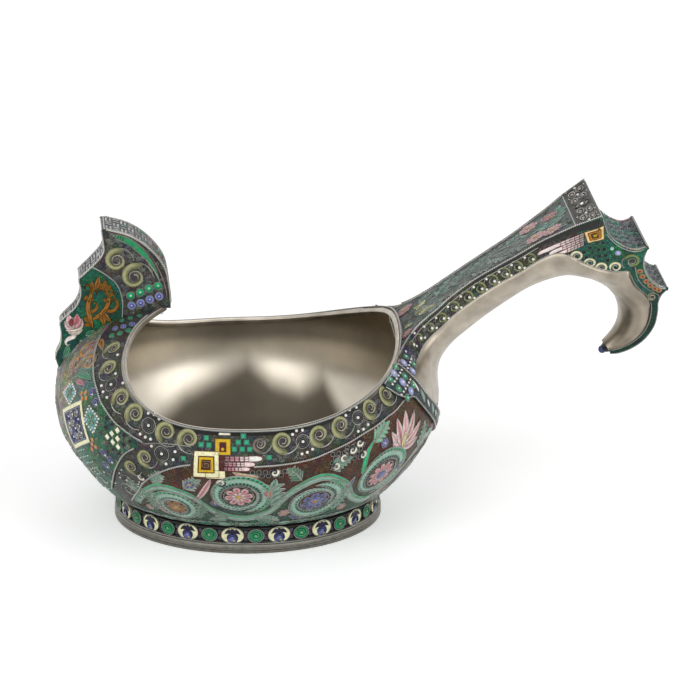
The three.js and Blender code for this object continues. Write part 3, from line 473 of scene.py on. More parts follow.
# surfaces
class Surface:
    """A face of the vessel. u runs to the right and v upwards, seen from outside."""

    reach = (0.05, 0.05)
    hand = 1.0

    def slopes(self, u, v):
        """How a point moves for a step of u, and for a step of v."""
        du, dv = self.reach
        along = (self.flat(u + du, v) - self.flat(u - du, v)) / (2 * du)
        return along, (self.flat(u, v + dv) - self.flat(u, v - dv)) / (2 * dv)

    def normal(self, u, v):
        return unit(np.cross(*self.slopes(u, v))) * self.hand

    def at(self, u, v, lift=0.0):
        u, v = np.broadcast_arrays(np.asarray(u, float), np.asarray(v, float))
        lift = np.broadcast_to(np.asarray(lift, float), u.shape)
        return self.flat(u, v) + lift[..., None] * self.normal(u, v)

    def spot(self, centre, shape, turn=0.0):
        """Millimetre offsets round a centre as u and v, after a turn in degrees."""
        u, v = (np.full(1, float(x)) for x in centre)
        c, s = math.cos(math.radians(turn)), math.sin(math.radians(turn))
        shape = np.atleast_2d(np.asarray(shape, float)) @ np.array([[c, s], [-s, c]])
        eu, ev = (slope[0] for slope in self.slopes(u, v))
        right = unit(eu)
        up = unit(ev - right * ev.dot(right))
        b = shape[:, 1] / ev.dot(up)
        a = (shape[:, 0] - b * ev.dot(right)) / np.linalg.norm(eu)
        return np.stack([u + a, v + b], axis=1)


class Bowl(Surface):
    """Degrees round from the handle (negative on the near side) and mm up the wall."""

    def flat(self, u, v):
        r = np.interp(v, outline_way, outline[:, 0])
        z = np.interp(v, outline_way, outline[:, 1])
        a = np.radians(u)
        return np.stack([r * np.cos(a), r * np.sin(a), z], axis=-1)

    def normal(self, u, v):
        r, z = (
            np.interp(v + 0.4, outline_way, outline[:, k]) - np.interp(v - 0.4, outline_way, outline[:, k])
            for k in (0, 1)
        )
        a = np.radians(u)
        return unit(np.stack([z * np.cos(a), z * np.sin(a), -r], axis=-1))


class Ring(Surface):
    """The upright band of the foot: degrees and height."""

    def flat(self, u, v):
        a = np.radians(u)
        return np.stack([BAND_RADIUS * np.cos(a), BAND_RADIUS * np.sin(a), v], axis=-1)


prow_rows = np.stack([
    PROW_FOOT + PROW_SHARES[:, 0] * PROW_HEIGHT,
    PROW_SHARES[:, 1] * BOWL_RADIUS, PROW_SHARES[:, 2] * PROW_HALF,
    PROW_SHARES[:, 3] * BOWL_RADIUS, PROW_SHARES[:, 4] * PROW_HALF,
], axis=1)
prow_crest = through(prow_rows[:, [0, 3, 4]], PROW_STEPS)
prow_fine = through(prow_rows[:, [0, 1, 2]], PROW_STEPS, PROW_TEETH)
prow_fine = np.column_stack([prow_fine, *(
    np.interp(-prow_fine[:, 0], -prow_crest[:, 0], prow_crest[:, k]) for k in (1, 2)
)])


class ProwCheek(Surface):
    """The near cheek of the prow: X and Z."""

    def flat(self, u, v):
        z = np.clip(v, prow_rows[-1, 0], prow_rows[0, 0])
        tx, ty, cx, cy = (
            np.interp(-z, -prow_fine[:, 0], prow_fine[:, k]) for k in (1, 2, 3, 4)
        )
        share = (u - tx) / np.maximum(cx - tx, 0.5)
        return np.stack([u, -(ty + (cy - ty) * share), v], axis=-1)


handle_rows = HANDLE_SHARES * np.array([
    HANDLE_LENGTH, HANDLE_RISE, HEAD_HALF, HANDLE_LENGTH, HANDLE_RISE, HEAD_HALF,
    HANDLE_LENGTH, HANDLE_RISE,
]) + np.array([HANDLE_X, HANDLE_Z, 0, HANDLE_X, HANDLE_Z, 0, HANDLE_X, HANDLE_Z])
handle_fine = np.concatenate([
    through(handle_rows[:, 0:3], HANDLE_STEPS, (TOP_TOOTH, SECOND_TOOTH, THIRD_TOOTH)),
    through(handle_rows[:, 3:6], HANDLE_STEPS),
    through(handle_rows[:, 6:8], HANDLE_STEPS),
], axis=1)
handle_number = np.linspace(0, len(handle_rows) - 1, len(handle_fine))
side_way = way_along((handle_fine[:, [0, 2, 1]] + handle_fine[:, [3, 5, 4]]) / 2)


def station_way(number):
    """Way in mm along the side's middle line at a station number."""
    return np.interp(number, handle_number, side_way)


class HandleSide(Surface):
    """The near side of the handle: mm along its middle, and 0 to 1 up from its lower edge."""

    reach = (0.2, 0.01)

    def flat(self, u, v):
        ox, oz, ow, sx, sz, sw = (np.interp(u, side_way, handle_fine[:, k]) for k in range(6))
        return np.stack([sx + (ox - sx) * v, -(sw + (ow - sw) * v), sz + (oz - sz) * v], axis=-1)

    def onto(self, x, z, u, v, rounds=12):
        """u, v of points given by X and Z, from a first guess."""
        for _ in range(rounds):
            here = self.flat(u, v)
            du, dv = (self.flat(u + 0.1, v) - here) / 0.1, (self.flat(u, v + 0.01) - here) / 0.01
            ex, ez = x - here[..., 0], z - here[..., 2]
            det = du[..., 0] * dv[..., 2] - dv[..., 0] * du[..., 2]
            det = np.where(np.abs(det) < 0.5, 0.5, det)
            u = u + np.clip((ex * dv[..., 2] - dv[..., 0] * ez) / det, -1, 1)
            v = v + np.clip((du[..., 0] * ez - ex * du[..., 2]) / det, -0.1, 0.1)
        return np.stack([u, v], axis=-1)

    def spot(self, centre, shape, turn=0.0):
        """The same as on any face, but true to X and Z where the face widens quickly."""
        guess = super().spot(centre, shape, turn)
        middle, first = np.array(centre, float)[None].T, guess - centre
        du, dv = self.slopes(*middle)
        goal = self.flat(*middle) + first[:, :1] * du + first[:, 1:] * dv
        return self.onto(goal[:, 0], goal[:, 2], guess[:, 0], np.clip(guess[:, 1], 0.02, 0.98))


BOWL, RING, CHEEK, SIDE = Bowl(), Ring(), ProwCheek(), HandleSide()


def mouth_way(degrees):
    c = np.cos(np.radians(degrees))
    up = np.where(
        c > 0, MOUTH_DIP + MOUTH_HANDLE * np.abs(c) ** 2.3, MOUTH_DIP + MOUTH_PROW * np.abs(c) ** 4.2
    )
    return np.minimum(up, MOUTH_CAP) * WALL_LENGTH


# bowl
ENAMEL_THICK = 0.3
ROUND_STEPS = 256  # faces round the bowl and the foot
ROPE_END = 159  # degrees from the handle at which the wire under the lip stops


def border_at(table, degrees):
    """Way up the wall of a border line at some degrees."""
    order = np.argsort(table[:, 0])
    return np.interp(degrees, table[order, 0], table[order, 1] * WALL_LENGTH)


def make_bowl():
    angles = np.linspace(-180, 180, ROUND_STEPS, endpoint=False)
    edge = (mouth_way(angles) - LIP_WIDTH)[:, None]
    rise = np.linspace(0, 1, 70)[None, :]
    low = BOWL_WALL * 2
    outside = BOWL.at(angles[:, None], rise * edge, -ENAMEL_THICK)
    inside = BOWL.at(angles[:, None], low + rise * (edge - low), -BOWL_WALL)
    floor = through([(r * FOOT_JOINT, -s * BOWL_SAG) for r, s in FLOOR_SHARES], 3)
    a = np.radians(angles)[:, None]

    def floor_rows(lift):
        r, z = floor.T[:, None, :]
        return np.stack([r * np.cos(a), r * np.sin(a), FOOT_HEIGHT + z + lift + 0 * a], axis=-1)

    # from the middle of the underside, out and up to the rim, over it and back inside
    under, bottom = floor_rows(0.0), floor_rows(BOWL_WALL)
    profile = np.concatenate([under[:, 1:], outside, inside[:, ::-1], bottom[:, 1:][:, ::-1]], axis=1)
    points, faces = tube(profile.swapaxes(0, 1)[::-1], [bottom[0, 0], under[0, 0]])
    pile = Pile()
    # the inside: painted shade, for dark reflections, darkens the bottom and a seam beside each end,
    # up to a wavy line, and the wall is browner under the rim
    x, z = points[:, 0], points[:, 2]
    painted_shade_line = [(-60, 14), (-40, 17), (-22, 29), (-4, 36), (4, 40), (13, 33), (25, 30), (34, 35), (43, 20),
            (52, 10), (62, 8)]
    line = np.interp(x, *zip(*painted_shade_line))
    dark = np.clip((line - z) / 13 + 0.5, 0, 1)
    brown = np.clip((z - 54) / 12, 0, 1)[:, None] * [0.0, 0.13, 0.34]
    painted_shade_and_tone = (1 - 0.87 * dark * dark * (3 - 2 * dark))[:, None] ** [1.0, 1.03, 1.08] * (1 - brown)
    pile.add(points, faces, BOWL_SILVER * painted_shade_and_tone)
    piece("bowl_silver_shell", pile, BOWL_FINISH, "plain_silver", ["bowl"])


def make_lip():
    columns = 360
    angles = np.linspace(-180, 180, columns, endpoint=False)
    top = mouth_way(angles)
    inner = -BOWL_WALL - LIP_OVERHANG
    rounds = 0.55
    turn = np.radians(np.linspace(0, 90, 5))
    out_round = [(-rounds + rounds * math.sin(t), -rounds + rounds * math.cos(t)) for t in turn]
    section = [(-LIP_WIDTH + 0.1, 0.0), *[(up, out) for up, out in out_round]]
    section += [(-rounds + rounds * math.cos(t), inner + rounds - rounds * math.sin(t)) for t in turn]
    section.append((-LIP_WIDTH + 0.1, inner))
    ways = top[:, None] + np.array([s[0] for s in section])[None, :]
    lifts = np.broadcast_to(np.array([s[1] for s in section])[None, :], ways.shape)
    points = BOWL.at(angles[:, None] + 0 * ways, ways, lifts)
    faces = grid_faces(columns, len(section), wrap_rows=True, wrap_columns=True)
    pile = Pile()
    # its outer face is enamelled over along both long sides
    side = np.clip(np.abs(np.sin(np.radians(angles))) * 4 - 2.4, 0, 1)[:, None, None]
    dark = (np.arange(len(section)) < 4)[None, :, None]
    tints = np.where(dark, SILVER + (SLATE * 0.8 - SILVER) * side, SILVER)
    pile.add(points, faces, tints.reshape(-1, 3))
    piece("rim_lip_bar", pile, PLAIN_SILVER, "plain_silver", ["rim_lip"])


def line_on(surface, line, lift, step=0.5):
    """Points and outward directions along a u, v line, lifted off a surface."""
    line = np.asarray(line, float)
    rough = surface.at(line[:, 0], line[:, 1])
    way = way_along(rough)
    count = max(2, int(way[-1] / step) + 1)
    at = np.linspace(0, way[-1], count)
    u, v = np.interp(at, way, line[:, 0]), np.interp(at, way, line[:, 1])
    return surface.at(u, v, lift), surface.normal(u, v)


def rope_on(pile, surface, line, radius, turn_mm, seat=0.15, **more):
    path, out = line_on(surface, line, seat + radius * ROPE_FLAT)
    add_rope(pile, path, out, radius, turn_mm, **more)


def make_ropes():
    rim = Pile()
    a = np.linspace(-ROPE_END, ROPE_END, 500)
    path = BOWL.at(a, mouth_way(a) - ROPE, GAP + ROPE * 0.8)
    add_rope(rim, path, BOWL.normal(a, mouth_way(a) - ROPE), ROPE * 0.74, 1.5, high=WIRE_HIGH * 0.85)
    piece("rim_rope", rim, WIRE_SILVER, "wire_silver", ["rim_rope_wire"])
    for name, z, stands in (
        ("foot_lower_rope", FLANGE_HEIGHT + GAP + WIRE, "foot_lower_wire"),
        ("foot_upper_rope", BAND_TOP - WIRE, "foot_upper_wire"),
    ):
        pile = Pile()
        a = np.linspace(0, 360, 361)[:-1]
        tones = {"high": linear("#55544f"), "low": INK_LOW}
        add_rope(pile, RING.at(a, z, WIRE), RING.normal(a, a * 0), WIRE * 0.8, 1.3, closed=True, **tones)
        piece(name, pile, WIRE_SILVER, "wire_silver", [stands])
    for name, table, stands in (
        ("rim_border_rope", RIM_BORDER, "rim_border_SIDE_wire"),
        ("panel_upper_rope", PANEL_UPPER[2:], "panel_upper_SIDE_wire"),
        ("panel_lower_rope", PANEL_LOWER, "panel_lower_SIDE_wire"),
    ):
        pile = Pile()
        fine = through(table * [1, WALL_LENGTH], 8)
        behind = (fine[:, 0] > 92) & (fine[:, 0] < 109.3)
        breaks = np.flatnonzero(np.diff(behind.astype(int))) + 1 if table is RIM_BORDER else []
        for part in np.split(fine, breaks)[::2]:
            rope_on(pile, BOWL, part * [-1, 1], WIRE, 1.9)
        pair(name, pile, WIRE_SILVER, "wire_silver", [stands])


def turned(profile, steps):
    """Points of a profile of radius and height, turned about the upright axis."""
    a = np.linspace(0, 2 * math.pi, steps, endpoint=False)[:, None]
    r, z = np.asarray(profile, float).T[:, None, :]
    return np.stack([r * np.cos(a), r * np.sin(a), z + 0 * a], axis=-1)


def lathe(pile, profile, tint):
    points = turned(profile, ROUND_STEPS)
    pile.add(points, grid_faces(ROUND_STEPS, len(profile), wrap_rows=True, wrap_columns=True), tint)


def make_foot():
    flange = Pile()
    lathe(flange, [
        (FOOT_IN, 0.25), (FOOT_IN + 0.25, 0), (FOOT_OUT - 0.3, 0), (FOOT_OUT, 0.3),
        (FOOT_OUT, 1.15), (FOOT_OUT - 0.35, 1.4), (FOOT_OUT - 0.35, 1.7), (FOOT_OUT, 1.95),
        (FOOT_OUT, FLANGE_HEIGHT - 1.0), (FOOT_OUT - 0.25, FLANGE_HEIGHT - 0.5),
        (FOOT_OUT - 0.7, FLANGE_HEIGHT - 0.1), (FOOT_OUT - 1.0, FLANGE_HEIGHT), (FOOT_IN, FLANGE_HEIGHT),
    ], linear("#75736b"))
    piece("foot_flange_ring", flange, DARK_SILVER, "plain_silver", ["foot_flange"])
    band = Pile()
    lathe(band, [
        (FOOT_IN, FLANGE_HEIGHT), (BAND_RADIUS, FLANGE_HEIGHT), (BAND_RADIUS, BAND_TOP),
        (FOOT_IN, BAND_TOP),
    ], NIGHT)
    piece("foot_band_ground", band, GROUND, "black_enamel", ["foot_band"])


# prow
def inside_bowl(points, depth):
    """True for points deeper than `depth` mm under the bowl's outer face."""
    r = np.hypot(points[..., 0], points[..., 1])
    z = points[..., 2]
    shape = r.shape
    r, z = r.ravel(), z.ravel()
    o = outline[::4]
    n = BOWL.normal(np.zeros(len(o)), outline_way[::4])
    nearest = np.argmin((r[:, None] - o[None, :, 0]) ** 2 + (z[:, None] - o[None, :, 1]) ** 2, axis=1)
    away = (r - o[nearest, 0]) * n[nearest, 0] + (z - o[nearest, 1]) * n[nearest, 2]
    return (away < -depth).reshape(shape)


def make_prow():
    # cheek: rows of the fine table, columns from the toothed edge to the crest
    t = np.linspace(0, 1, 60)[None, :]
    z, tooth_x, tooth_y, crest_x, crest_y = prow_fine.T[:, :, None]
    x = tooth_x + (crest_x - tooth_x) * t
    y = -(tooth_y + (crest_y - tooth_y) * t)
    outer = np.stack([x, y, z + 0 * t], axis=-1)
    inner = outer + [0, SHEET, 0]
    keep = ~inside_bowl(outer, BURIED)
    pile = Pile()
    divider = np.interp(outer[..., 2], PROW_DIVIDER[::-1, 1], PROW_DIVIDER[::-1, 0])
    right = (outer[..., 0] > divider)[..., None]
    add_sheet(pile, outer, inner, np.where(right, SLATE, DEEP_GREEN * 0.8), keep, SILVER)
    pair("prow_cheek", pile, GROUND, "slate_enamel", ["prow_SIDE_cheek"])
    # crest and the three steps: sheets across, with a woven relief added later
    strips = [("prow_crest", prow_crest_line(), "prow_crest_strip")]
    strips += [(name, prow_step(k)[::-1], name) for k, name in enumerate(PROW_STEP_NAMES)]
    for name, line, stands in strips:
        pile = Pile()
        strip_sheet(pile, line, linear("#17191b"))
        piece(name + "_ground", pile, DARK_SILVER, "brocade_silver", [stands])


def prow_crest_line():
    """The crest from the tip of the upper step to the bowl."""
    start = prow_fine[:1, [1, 0, 2]] + [0.2, 0, 0]
    return np.vstack([start, prow_fine[:, [3, 0, 4]]])


def prow_step(number):
    """One step of the toothed edge, from the top down: X, Z and half-width."""
    first, last = (PROW_TEETH[number + k] * PROW_STEPS for k in (0, 1))
    return prow_fine[first : last + 1][:, [1, 0, 2]]


def strip_sheet(pile, line, tint):
    """A sheet across the vessel along a line of X, Z and half-width. The outside lies
    to the left of the line's run, seen from the near side."""
    along = unit(np.gradient(line[:, :2], axis=0))
    deep = np.stack([along[:, 1], 0 * along[:, 0], -along[:, 0]], axis=1)[:, None] * STRIP_THICK
    y = (line[:, 2:3] - GAP) * np.linspace(-1, 1, 16)[None, :]
    top = np.stack([line[:, 0:1] + 0 * y, y, line[:, 1:2] + 0 * y], axis=-1)
    add_sheet(pile, top, top + deep, tint, ~inside_bowl(top, BURIED))


PROW_STEP_NAMES = ("prow_upper_step", "prow_middle_step", "prow_lower_step")
STRIP_THICK = SHEET - 0.2
CREST_LOW, TEETH_LOW = 88.6, 64.0  # the heights from which the cheek's two outline wires rise
BURIED = 0.9  # sheets are cut off this far under the bowl's outer face
# X and Z of the rope between the cheek's green field and its slate one
PROW_DIVIDER = np.array([
    (-60.5, 103.5), (-57.0, 101.8), (-52.6, 98.8), (-49.5, 94.7), (-48.4, 90.2), (-48.7, 83.2), (-49, 78),
])


# handle
TOP_DROP = 0.25  # the strips on top lie this far inside the sides' upper edge
EDGE_WIRE_SEAT = 0.35
TROUGH_THICK, TROUGH_INSET = 1.0, 0.2


def handle_span(first, last):
    """The top edge between two stations, drawn in to where the strips lie."""
    return handle_fine[first * HANDLE_STEPS : last * HANDLE_STEPS + 1, :3] - [0, 0, TOP_DROP]


def make_handle():
    v = np.linspace(0, 1, 25)[None, :]
    u = side_way[:, None]
    outer = SIDE.at(u, v)
    inner = SIDE.at(u, v, -SHEET)
    number = np.broadcast_to(handle_number[:, None], outer.shape[:2])
    green = linear("#1c4f3f")
    dark = linear("#33352c")
    # the green deepens along the hook, past the last tooth
    deep = np.clip((number - THIRD_TOOTH + 1) / 2, 0, 1)[..., None]
    tint = np.where((number > 13.2)[..., None], green * (1 - 0.6 * deep), dark)
    pile = Pile()
    add_sheet(pile, outer, inner, tint, ~inside_bowl(outer, BURIED), SILVER)
    pair("handle_side", pile, GROUND, "green_enamel", ["handle_SIDE_side"])
    # the five strips of the back, each from its own station to the next one's
    woven = (DARK_SILVER, "brocade_silver")
    strips = (
        (0, "handle_top_ground", linear("#343d3a"), GROUND, "slate_enamel", "handle_top_plate"),
        (END_PANEL, "handle_end_panel_ground", linear("#35343a"), *woven, "handle_end_panel"),
        (TOP_TOOTH, "handle_upper_step_ground", linear("#24292c"), *woven, "handle_upper_step"),
        (SECOND_TOOTH, "handle_lower_step_ground", linear("#33352f"), *woven, "handle_lower_step"),
        (THIRD_TOOTH, "hook_back_enamel", DEEP_GREEN * 0.6, ENAMEL, "green_enamel", "hook_back_strip"),
    )
    ends = [strip[0] for strip in strips[1:]] + [len(handle_rows) - 1]
    for (first, name, tint, material, slot, stands), last in zip(strips, ends):
        pile = Pile()
        strip_sheet(pile, handle_span(first, last), tint)
        piece(name, pile, material, slot, [stands])
    # the underside: a trough hung between the lower edges of the sides
    k = np.linspace(0, math.pi, 33)[None, :]
    reach = np.sin(k)
    edge_x, edge_z, edge_half, belly_x, belly_z = handle_fine.T[3:, :, None]
    x = edge_x + (belly_x - edge_x) * reach
    z = edge_z + (belly_z - edge_z) * reach
    outer = np.stack([x, -(edge_half - TROUGH_INSET) * np.cos(k), z], axis=-1)
    out = unit(np.cross(np.gradient(outer, axis=0), np.gradient(outer, axis=1)))
    inner = outer - out * TROUGH_THICK
    inner[:, [0, -1]] = outer[:, [0, -1]] + [0, 0, GAP]
    pile = Pile()
    # painted shade darkens the silver beside the enamel, and it is darker in streaks in the crook of the
    # hook and towards its tip
    number = handle_number[:, None]
    edge_shade = np.clip(1 - np.sin(k) * 2.2, 0, 1) * 0.25
    streaks = 0.42 * np.sin(k * 2.0) ** 2 + 0.16 * np.cos(k * 9.0 + number * 0.4) ** 2
    crook = np.exp(-(((number - 28.5) / 5.5) ** 2)) * streaks
    tip = np.clip((number - 30) / 5, 0, 1) * 0.35
    painted_shade_and_tone = (1 - np.clip(edge_shade + crook + tip, 0, 0.75))[..., None]
    add_sheet(pile, outer, inner, SILVER * painted_shade_and_tone ** [1.0, 1.08, 1.2], ~inside_bowl(outer, BURIED))
    piece("handle_underside_silver", pile, PLAIN_SILVER, "plain_silver", ["handle_underside"])
    # wire along both top edges
    wires = Pile()
    x, z, half = handle_fine[3 * HANDLE_STEPS : TOP_TOOTH * HANDLE_STEPS + 1, :3].T
    path = np.stack([x, -(half - EDGE_WIRE_SEAT), z + EDGE_WIRE_SEAT], axis=1)
    add_rope(wires, path, np.array([0, 0, 1.0]), WIRE, 1.9)
    pair("handle_edge_rope", wires, WIRE_SILVER, "wire_silver", ["handle_SIDE_edge_wire"])


# collar
COLLAR_THICK = 0.8


def make_collar():
    rows = through(COLLAR_SHARES, 12)
    t = np.linspace(0, 1, 20)[None, :]
    way = (rows[:, 1:2] + (rows[:, 2:3] - rows[:, 1:2]) * t) * WALL_LENGTH
    deg = -(rows[:, 0:1] + 0 * t)
    pile = Pile()
    add_sheet(pile, BOWL.at(deg, way, GAP + COLLAR_THICK), BOWL.at(deg, way, -0.1), linear("#2b3536"))
    pair("collar_strap", pile, GROUND, "green_enamel", ["collar_SIDE_strap"])
    wires = Pile()
    for share, radius in ((rows[:, 1], WIRE * 0.8), (rows[:, 2], WIRE)):
        path = BOWL.at(-rows[:, 0], share * WALL_LENGTH, GAP + COLLAR_THICK)
        add_rope(wires, path, BOWL.normal(-rows[:, 0], share * WALL_LENGTH), radius, 1.9)
    pair("collar_rope", wires, WIRE_SILVER, "wire_silver", ["collar_SIDE_wire"])


# enamel ground of the bowl
def make_ground():
    columns, rows = 640, 150
    angles = np.linspace(-180, 180, columns, endpoint=False)
    edge = mouth_way(angles) - LIP_WIDTH
    way = np.linspace(0.0, 1, rows)[None, :] * edge[:, None]
    deg = np.broadcast_to(angles[:, None], way.shape)
    near = np.abs(deg)

    def shade(share, *stops):
        """A colour run: pairs of share and hex colour."""
        at, hexes = stops[::2], [linear(h) for h in stops[1::2]]
        return np.stack([np.interp(share, at, [h[k] for h in hexes]) for k in range(3)], axis=-1)

    tables = (np.vstack([BORDER_TAIL, RIM_BORDER]), PANEL_UPPER, PANEL_LOWER)
    upper, panel, lower = (border_at(table, near) for table in tables)
    # main panel: dark green by the foot, red brown above
    tint = shade(way, 8, "#2a4a3c", 19, "#2c4234", 30, "#40291b", 60, "#43291a")
    rim_zone = way > np.where(near < 124.7, upper, panel)
    # panel beside the prow: deep green, teal and rosy grey towards the front
    left = ((near > 126) & (way < panel)) & ((way > lower) | (near > 147.9))
    stops = (126, "#154c3a", 146, "#24503f", 158, "#45665a", 170, "#7c6f62", 180, "#6a6c60")
    green = shade(near + (way - 40) * 0.25, *stops)
    # branch of the slate band that runs down between the two panels
    branch = (near > 113) & (near < 148) & ~left & ~rim_zone & ((way > upper) | (near > 139.2))
    tint[rim_zone | branch] = SLATE
    tint[left] = green[left]
    tint[way < 0.055 * WALL_LENGTH] = linear("#22332c")
    tint[(near < 47.5) & (way > border_at(COLLAR_SHARES[:, [0, 1]], near))] = SLATE
    pile = Pile()
    add_sheet(pile, BOWL.at(deg, way), BOWL.at(deg, way, -ENAMEL_THICK), tint, wrap_rows=True)
    piece("bowl_enamel_ground", pile, GROUND, "slate_enamel")


# ornament
WHITE = linear("#f6f4ec")
CREAM = linear("#f6f2c4")
OLIVE_LIGHT, OLIVE, OLIVE_DARK = linear("#acab80"), linear("#848857"), linear("#3b3d24")
EMERALD, EMERALD_DARK = linear("#22a86c"), linear("#0d5a40")
TEAL_PALE, TEAL = linear("#a9d6c0"), linear("#55988a")
LILAC, LILAC_LIGHT = linear("#8289cc"), linear("#c3c9ee")
VIOLET, VIOLET_DARK = linear("#5a4f8f"), linear("#25204a")
INK = linear("#0c0d11")
AMBER, YELLOW, MAROON = linear("#c98a2a"), linear("#d9b11c"), linear("#5a1c1c")
OCHRE, OCHRE_DARK = linear("#c98a2c"), linear("#5a3310")
PINK, PINK_PALE, ROSE = linear("#e0a0a8"), linear("#f4dcd8"), linear("#a83248")
ORANGE = linear("#c9803a")
FRESH_GREEN, SAND, ROSY_WIRE = linear("#2fc284"), linear("#b8a084"), linear("#9a5a60")
CELL_SEAT = -0.05  # cells reach this far under the face that carries them
# a petal's outline: shares of its length and of its half-width
PETAL = np.array([
    (0.18, 0.0), (0.45, 0.42), (0.8, 0.62), (0.98, 0.35), (1.0, 0.0), (0.98, -0.35),
    (0.8, -0.62), (0.45, -0.42),
])


def circle(radius, count=16, stretch=1.0):
    a = 2 * math.pi * np.arange(count) / count
    return np.stack([radius * np.cos(a), radius * stretch * np.sin(a)], axis=1)


def rectangle(wide, high):
    return np.array([(-1, -1), (1, -1), (1, 1), (-1, 1)]) * [wide / 2, high / 2]


def diamond(wide, high):
    return np.array([(0, -1), (1, 0), (0, 1), (-1, 0)]) * [wide / 2, high / 2]


def coil(radius, turns, start, hand, count=None, core=0.12, power=0.85):
    """A line that winds in from `radius`, beginning at `start` degrees."""
    t = np.linspace(0, 1, count or int(14 * turns + 8))
    a = math.radians(start) + hand * 2 * math.pi * turns * t
    r = core + (radius - core) * (1 - t) ** power
    return np.stack([r * np.cos(a), r * np.sin(a)], axis=1)


class Craft:
    """Wire and enamel cells laid on one face of the vessel."""

    def __init__(self, face, up=0.0, shine=1.0):
        self.face, self.up, self.shine, self.wires, self.cells = face, up, shine, Pile(), Pile()

    def here(self, centre, shape, turn=0.0):
        return self.face.spot(centre, shape, turn)

    def raised(self, up):
        """The same piles, laid `up` mm higher."""
        other = Craft(self.face, self.up + up, self.shine)
        other.wires, other.cells = self.wires, self.cells
        return other

    def wire(self, line, radius=0.19, closed=False, high=WIRE_HIGH, low=None, lift=0.1, turn_mm=0.9):
        line = np.asarray(line, float)
        if closed:
            line = np.vstack([line, line[:1]])
        path, out = line_on(self.face, line, lift + self.up, 0.3)
        if closed:
            path, out = path[:-1], out[:-1]
        high = high * self.shine
        add_rope(self.wires, path, out, radius, turn_mm, sides=4, flat=0.7, closed=closed,
                 high=high, low=high * 0.5 if low is None else low, steps=4)

    def cell_at(self, centre, shape, *tints, **more):
        self.cell(self.here(centre, shape), *tints, **more)

    def wire_at(self, centre, shape, *radius, **more):
        self.wire(self.here(centre, shape), *radius, **more)

    def rope(self, line, radius=0.3, lift=0.15, turn_mm=1.6):
        path, out = line_on(self.face, line, lift + self.up, 0.25)
        add_rope(self.wires, path, out, radius, turn_mm)

    def cell(self, line, edge, middle=None, rise=0.1, base=0.06):
        """A closed cell filled with enamel, slightly crowned."""
        line = np.asarray(line, float)
        middle = edge if middle is None else middle
        heart = line.mean(axis=0)
        count = len(line)
        top = base + self.up
        rings = [(1.0, CELL_SEAT, 0.0), (1.0, top, 0.0), (0.78, top + rise * 0.75, 0.45)]
        u = [heart[0] + (line[:, 0] - heart[0]) * share for share, _, _ in rings] + [[heart[0]] * 2]
        v = [heart[1] + (line[:, 1] - heart[1]) * share for share, _, _ in rings] + [[heart[1]] * 2]
        lift = [np.full(count, up) for _, up, _ in rings] + [[base + self.up + rise, CELL_SEAT]]
        tint = [np.broadcast_to(edge + (middle - edge) * mix, (count, 3)) for *_, mix in rings]
        tint.append([middle, edge])
        points = self.face.at(np.concatenate(u), np.concatenate(v), np.concatenate(lift))
        k = np.arange(count)
        n = (k + 1) % count
        area = np.sum(line[:, 0] * np.roll(line[:, 1], -1) - np.roll(line[:, 0], -1) * line[:, 1])
        blocks = [np.stack([s * count + k, s * count + n, (s + 1) * count + n, (s + 1) * count + k], axis=1)
                  for s in (0, 1)]
        blocks.append(np.stack([2 * count + k, 2 * count + n, np.full(count, 3 * count)], axis=1))
        blocks.append(np.stack([n, k, np.full(count, 3 * count + 1)], axis=1))
        if area * self.face.hand < 0:
            blocks = [b[:, ::-1] for b in blocks]
        self.cells.add(points, blocks, np.concatenate(tint))

    def patch(self, corners, tint, base=0.1, share=1.0, wire=0.14, high=WIRE_HIGH, via=None):
        """A flat-topped cell with four corners, bent to the face. via() turns its own
        coordinates, such as X and Z, into the face's."""
        corners = np.asarray(corners, float)
        corners = corners.mean(axis=0) + (corners - corners.mean(axis=0)) * share
        via = via or (lambda spots: spots)
        own = via(corners)
        solid = self.face.at(own[:, 0], own[:, 1])
        size = np.linalg.norm(solid - np.roll(solid, 1, axis=0), axis=1).max()
        s = np.linspace(0, 1, 2 + int(size / 1.5))
        a, b = s[:, None, None], s[None, :, None]
        q = (1 - a) * (1 - b) * corners[0] + a * (1 - b) * corners[1]
        q = via(q + a * b * corners[2] + (1 - a) * b * corners[3])
        area = np.sum(own[:, 0] * np.roll(own[:, 1], -1) - np.roll(own[:, 0], -1) * own[:, 1])
        if area * self.face.hand < 0:
            q = q[::-1]
        top, low = (self.face.at(q[..., 0], q[..., 1], lift) for lift in (base + self.up, CELL_SEAT))
        add_sheet(self.cells, top, low, tint)
        if wire:
            t = np.linspace(0, 4, 24, endpoint=False)
            ring = np.stack([np.interp(t, range(5), [*corners[:, k], corners[0, k]]) for k in (0, 1)],
                            axis=1)
            self.wire(via(ring), wire, closed=True, lift=base, high=high)

    def ribbon(self, left, right, left_tint, right_tint, rise=0.1, base=0.06):
        """A band of enamel between two lines with the same number of points."""
        left, right = np.asarray(left, float), np.asarray(right, float)
        count = len(left)
        left_tint = np.broadcast_to(left_tint, (count, 3))
        right_tint = np.broadcast_to(right_tint, (count, 3))
        base += self.up
        across = [(0, CELL_SEAT), (0, base), (0.5, base + rise), (1, base), (1, CELL_SEAT)]
        spots = np.stack([left + (right - left) * s for s, _ in across], axis=1)
        lifts = np.broadcast_to([up for _, up in across], (count, 5))
        tints = np.stack([left_tint + (right_tint - left_tint) * s for s, _ in across], axis=1)
        points = self.face.at(spots[..., 0], spots[..., 1], lifts)
        blocks = [grid_faces(count, 5, wrap_columns=True), np.array([[4, 3, 2, 1, 0]]),
                  np.array([[0, 1, 2, 3, 4]]) + (count - 1) * 5]
        m = count // 2
        a, b = left[min(m + 1, count - 1)] - left[m - 1], right[m] - left[m]
        if (a[0] * b[1] - a[1] * b[0]) * self.face.hand < 0:
            blocks = [x[:, ::-1] for x in blocks]
        self.cells.add(points.reshape(-1, 3), blocks, tints.reshape(-1, 3))

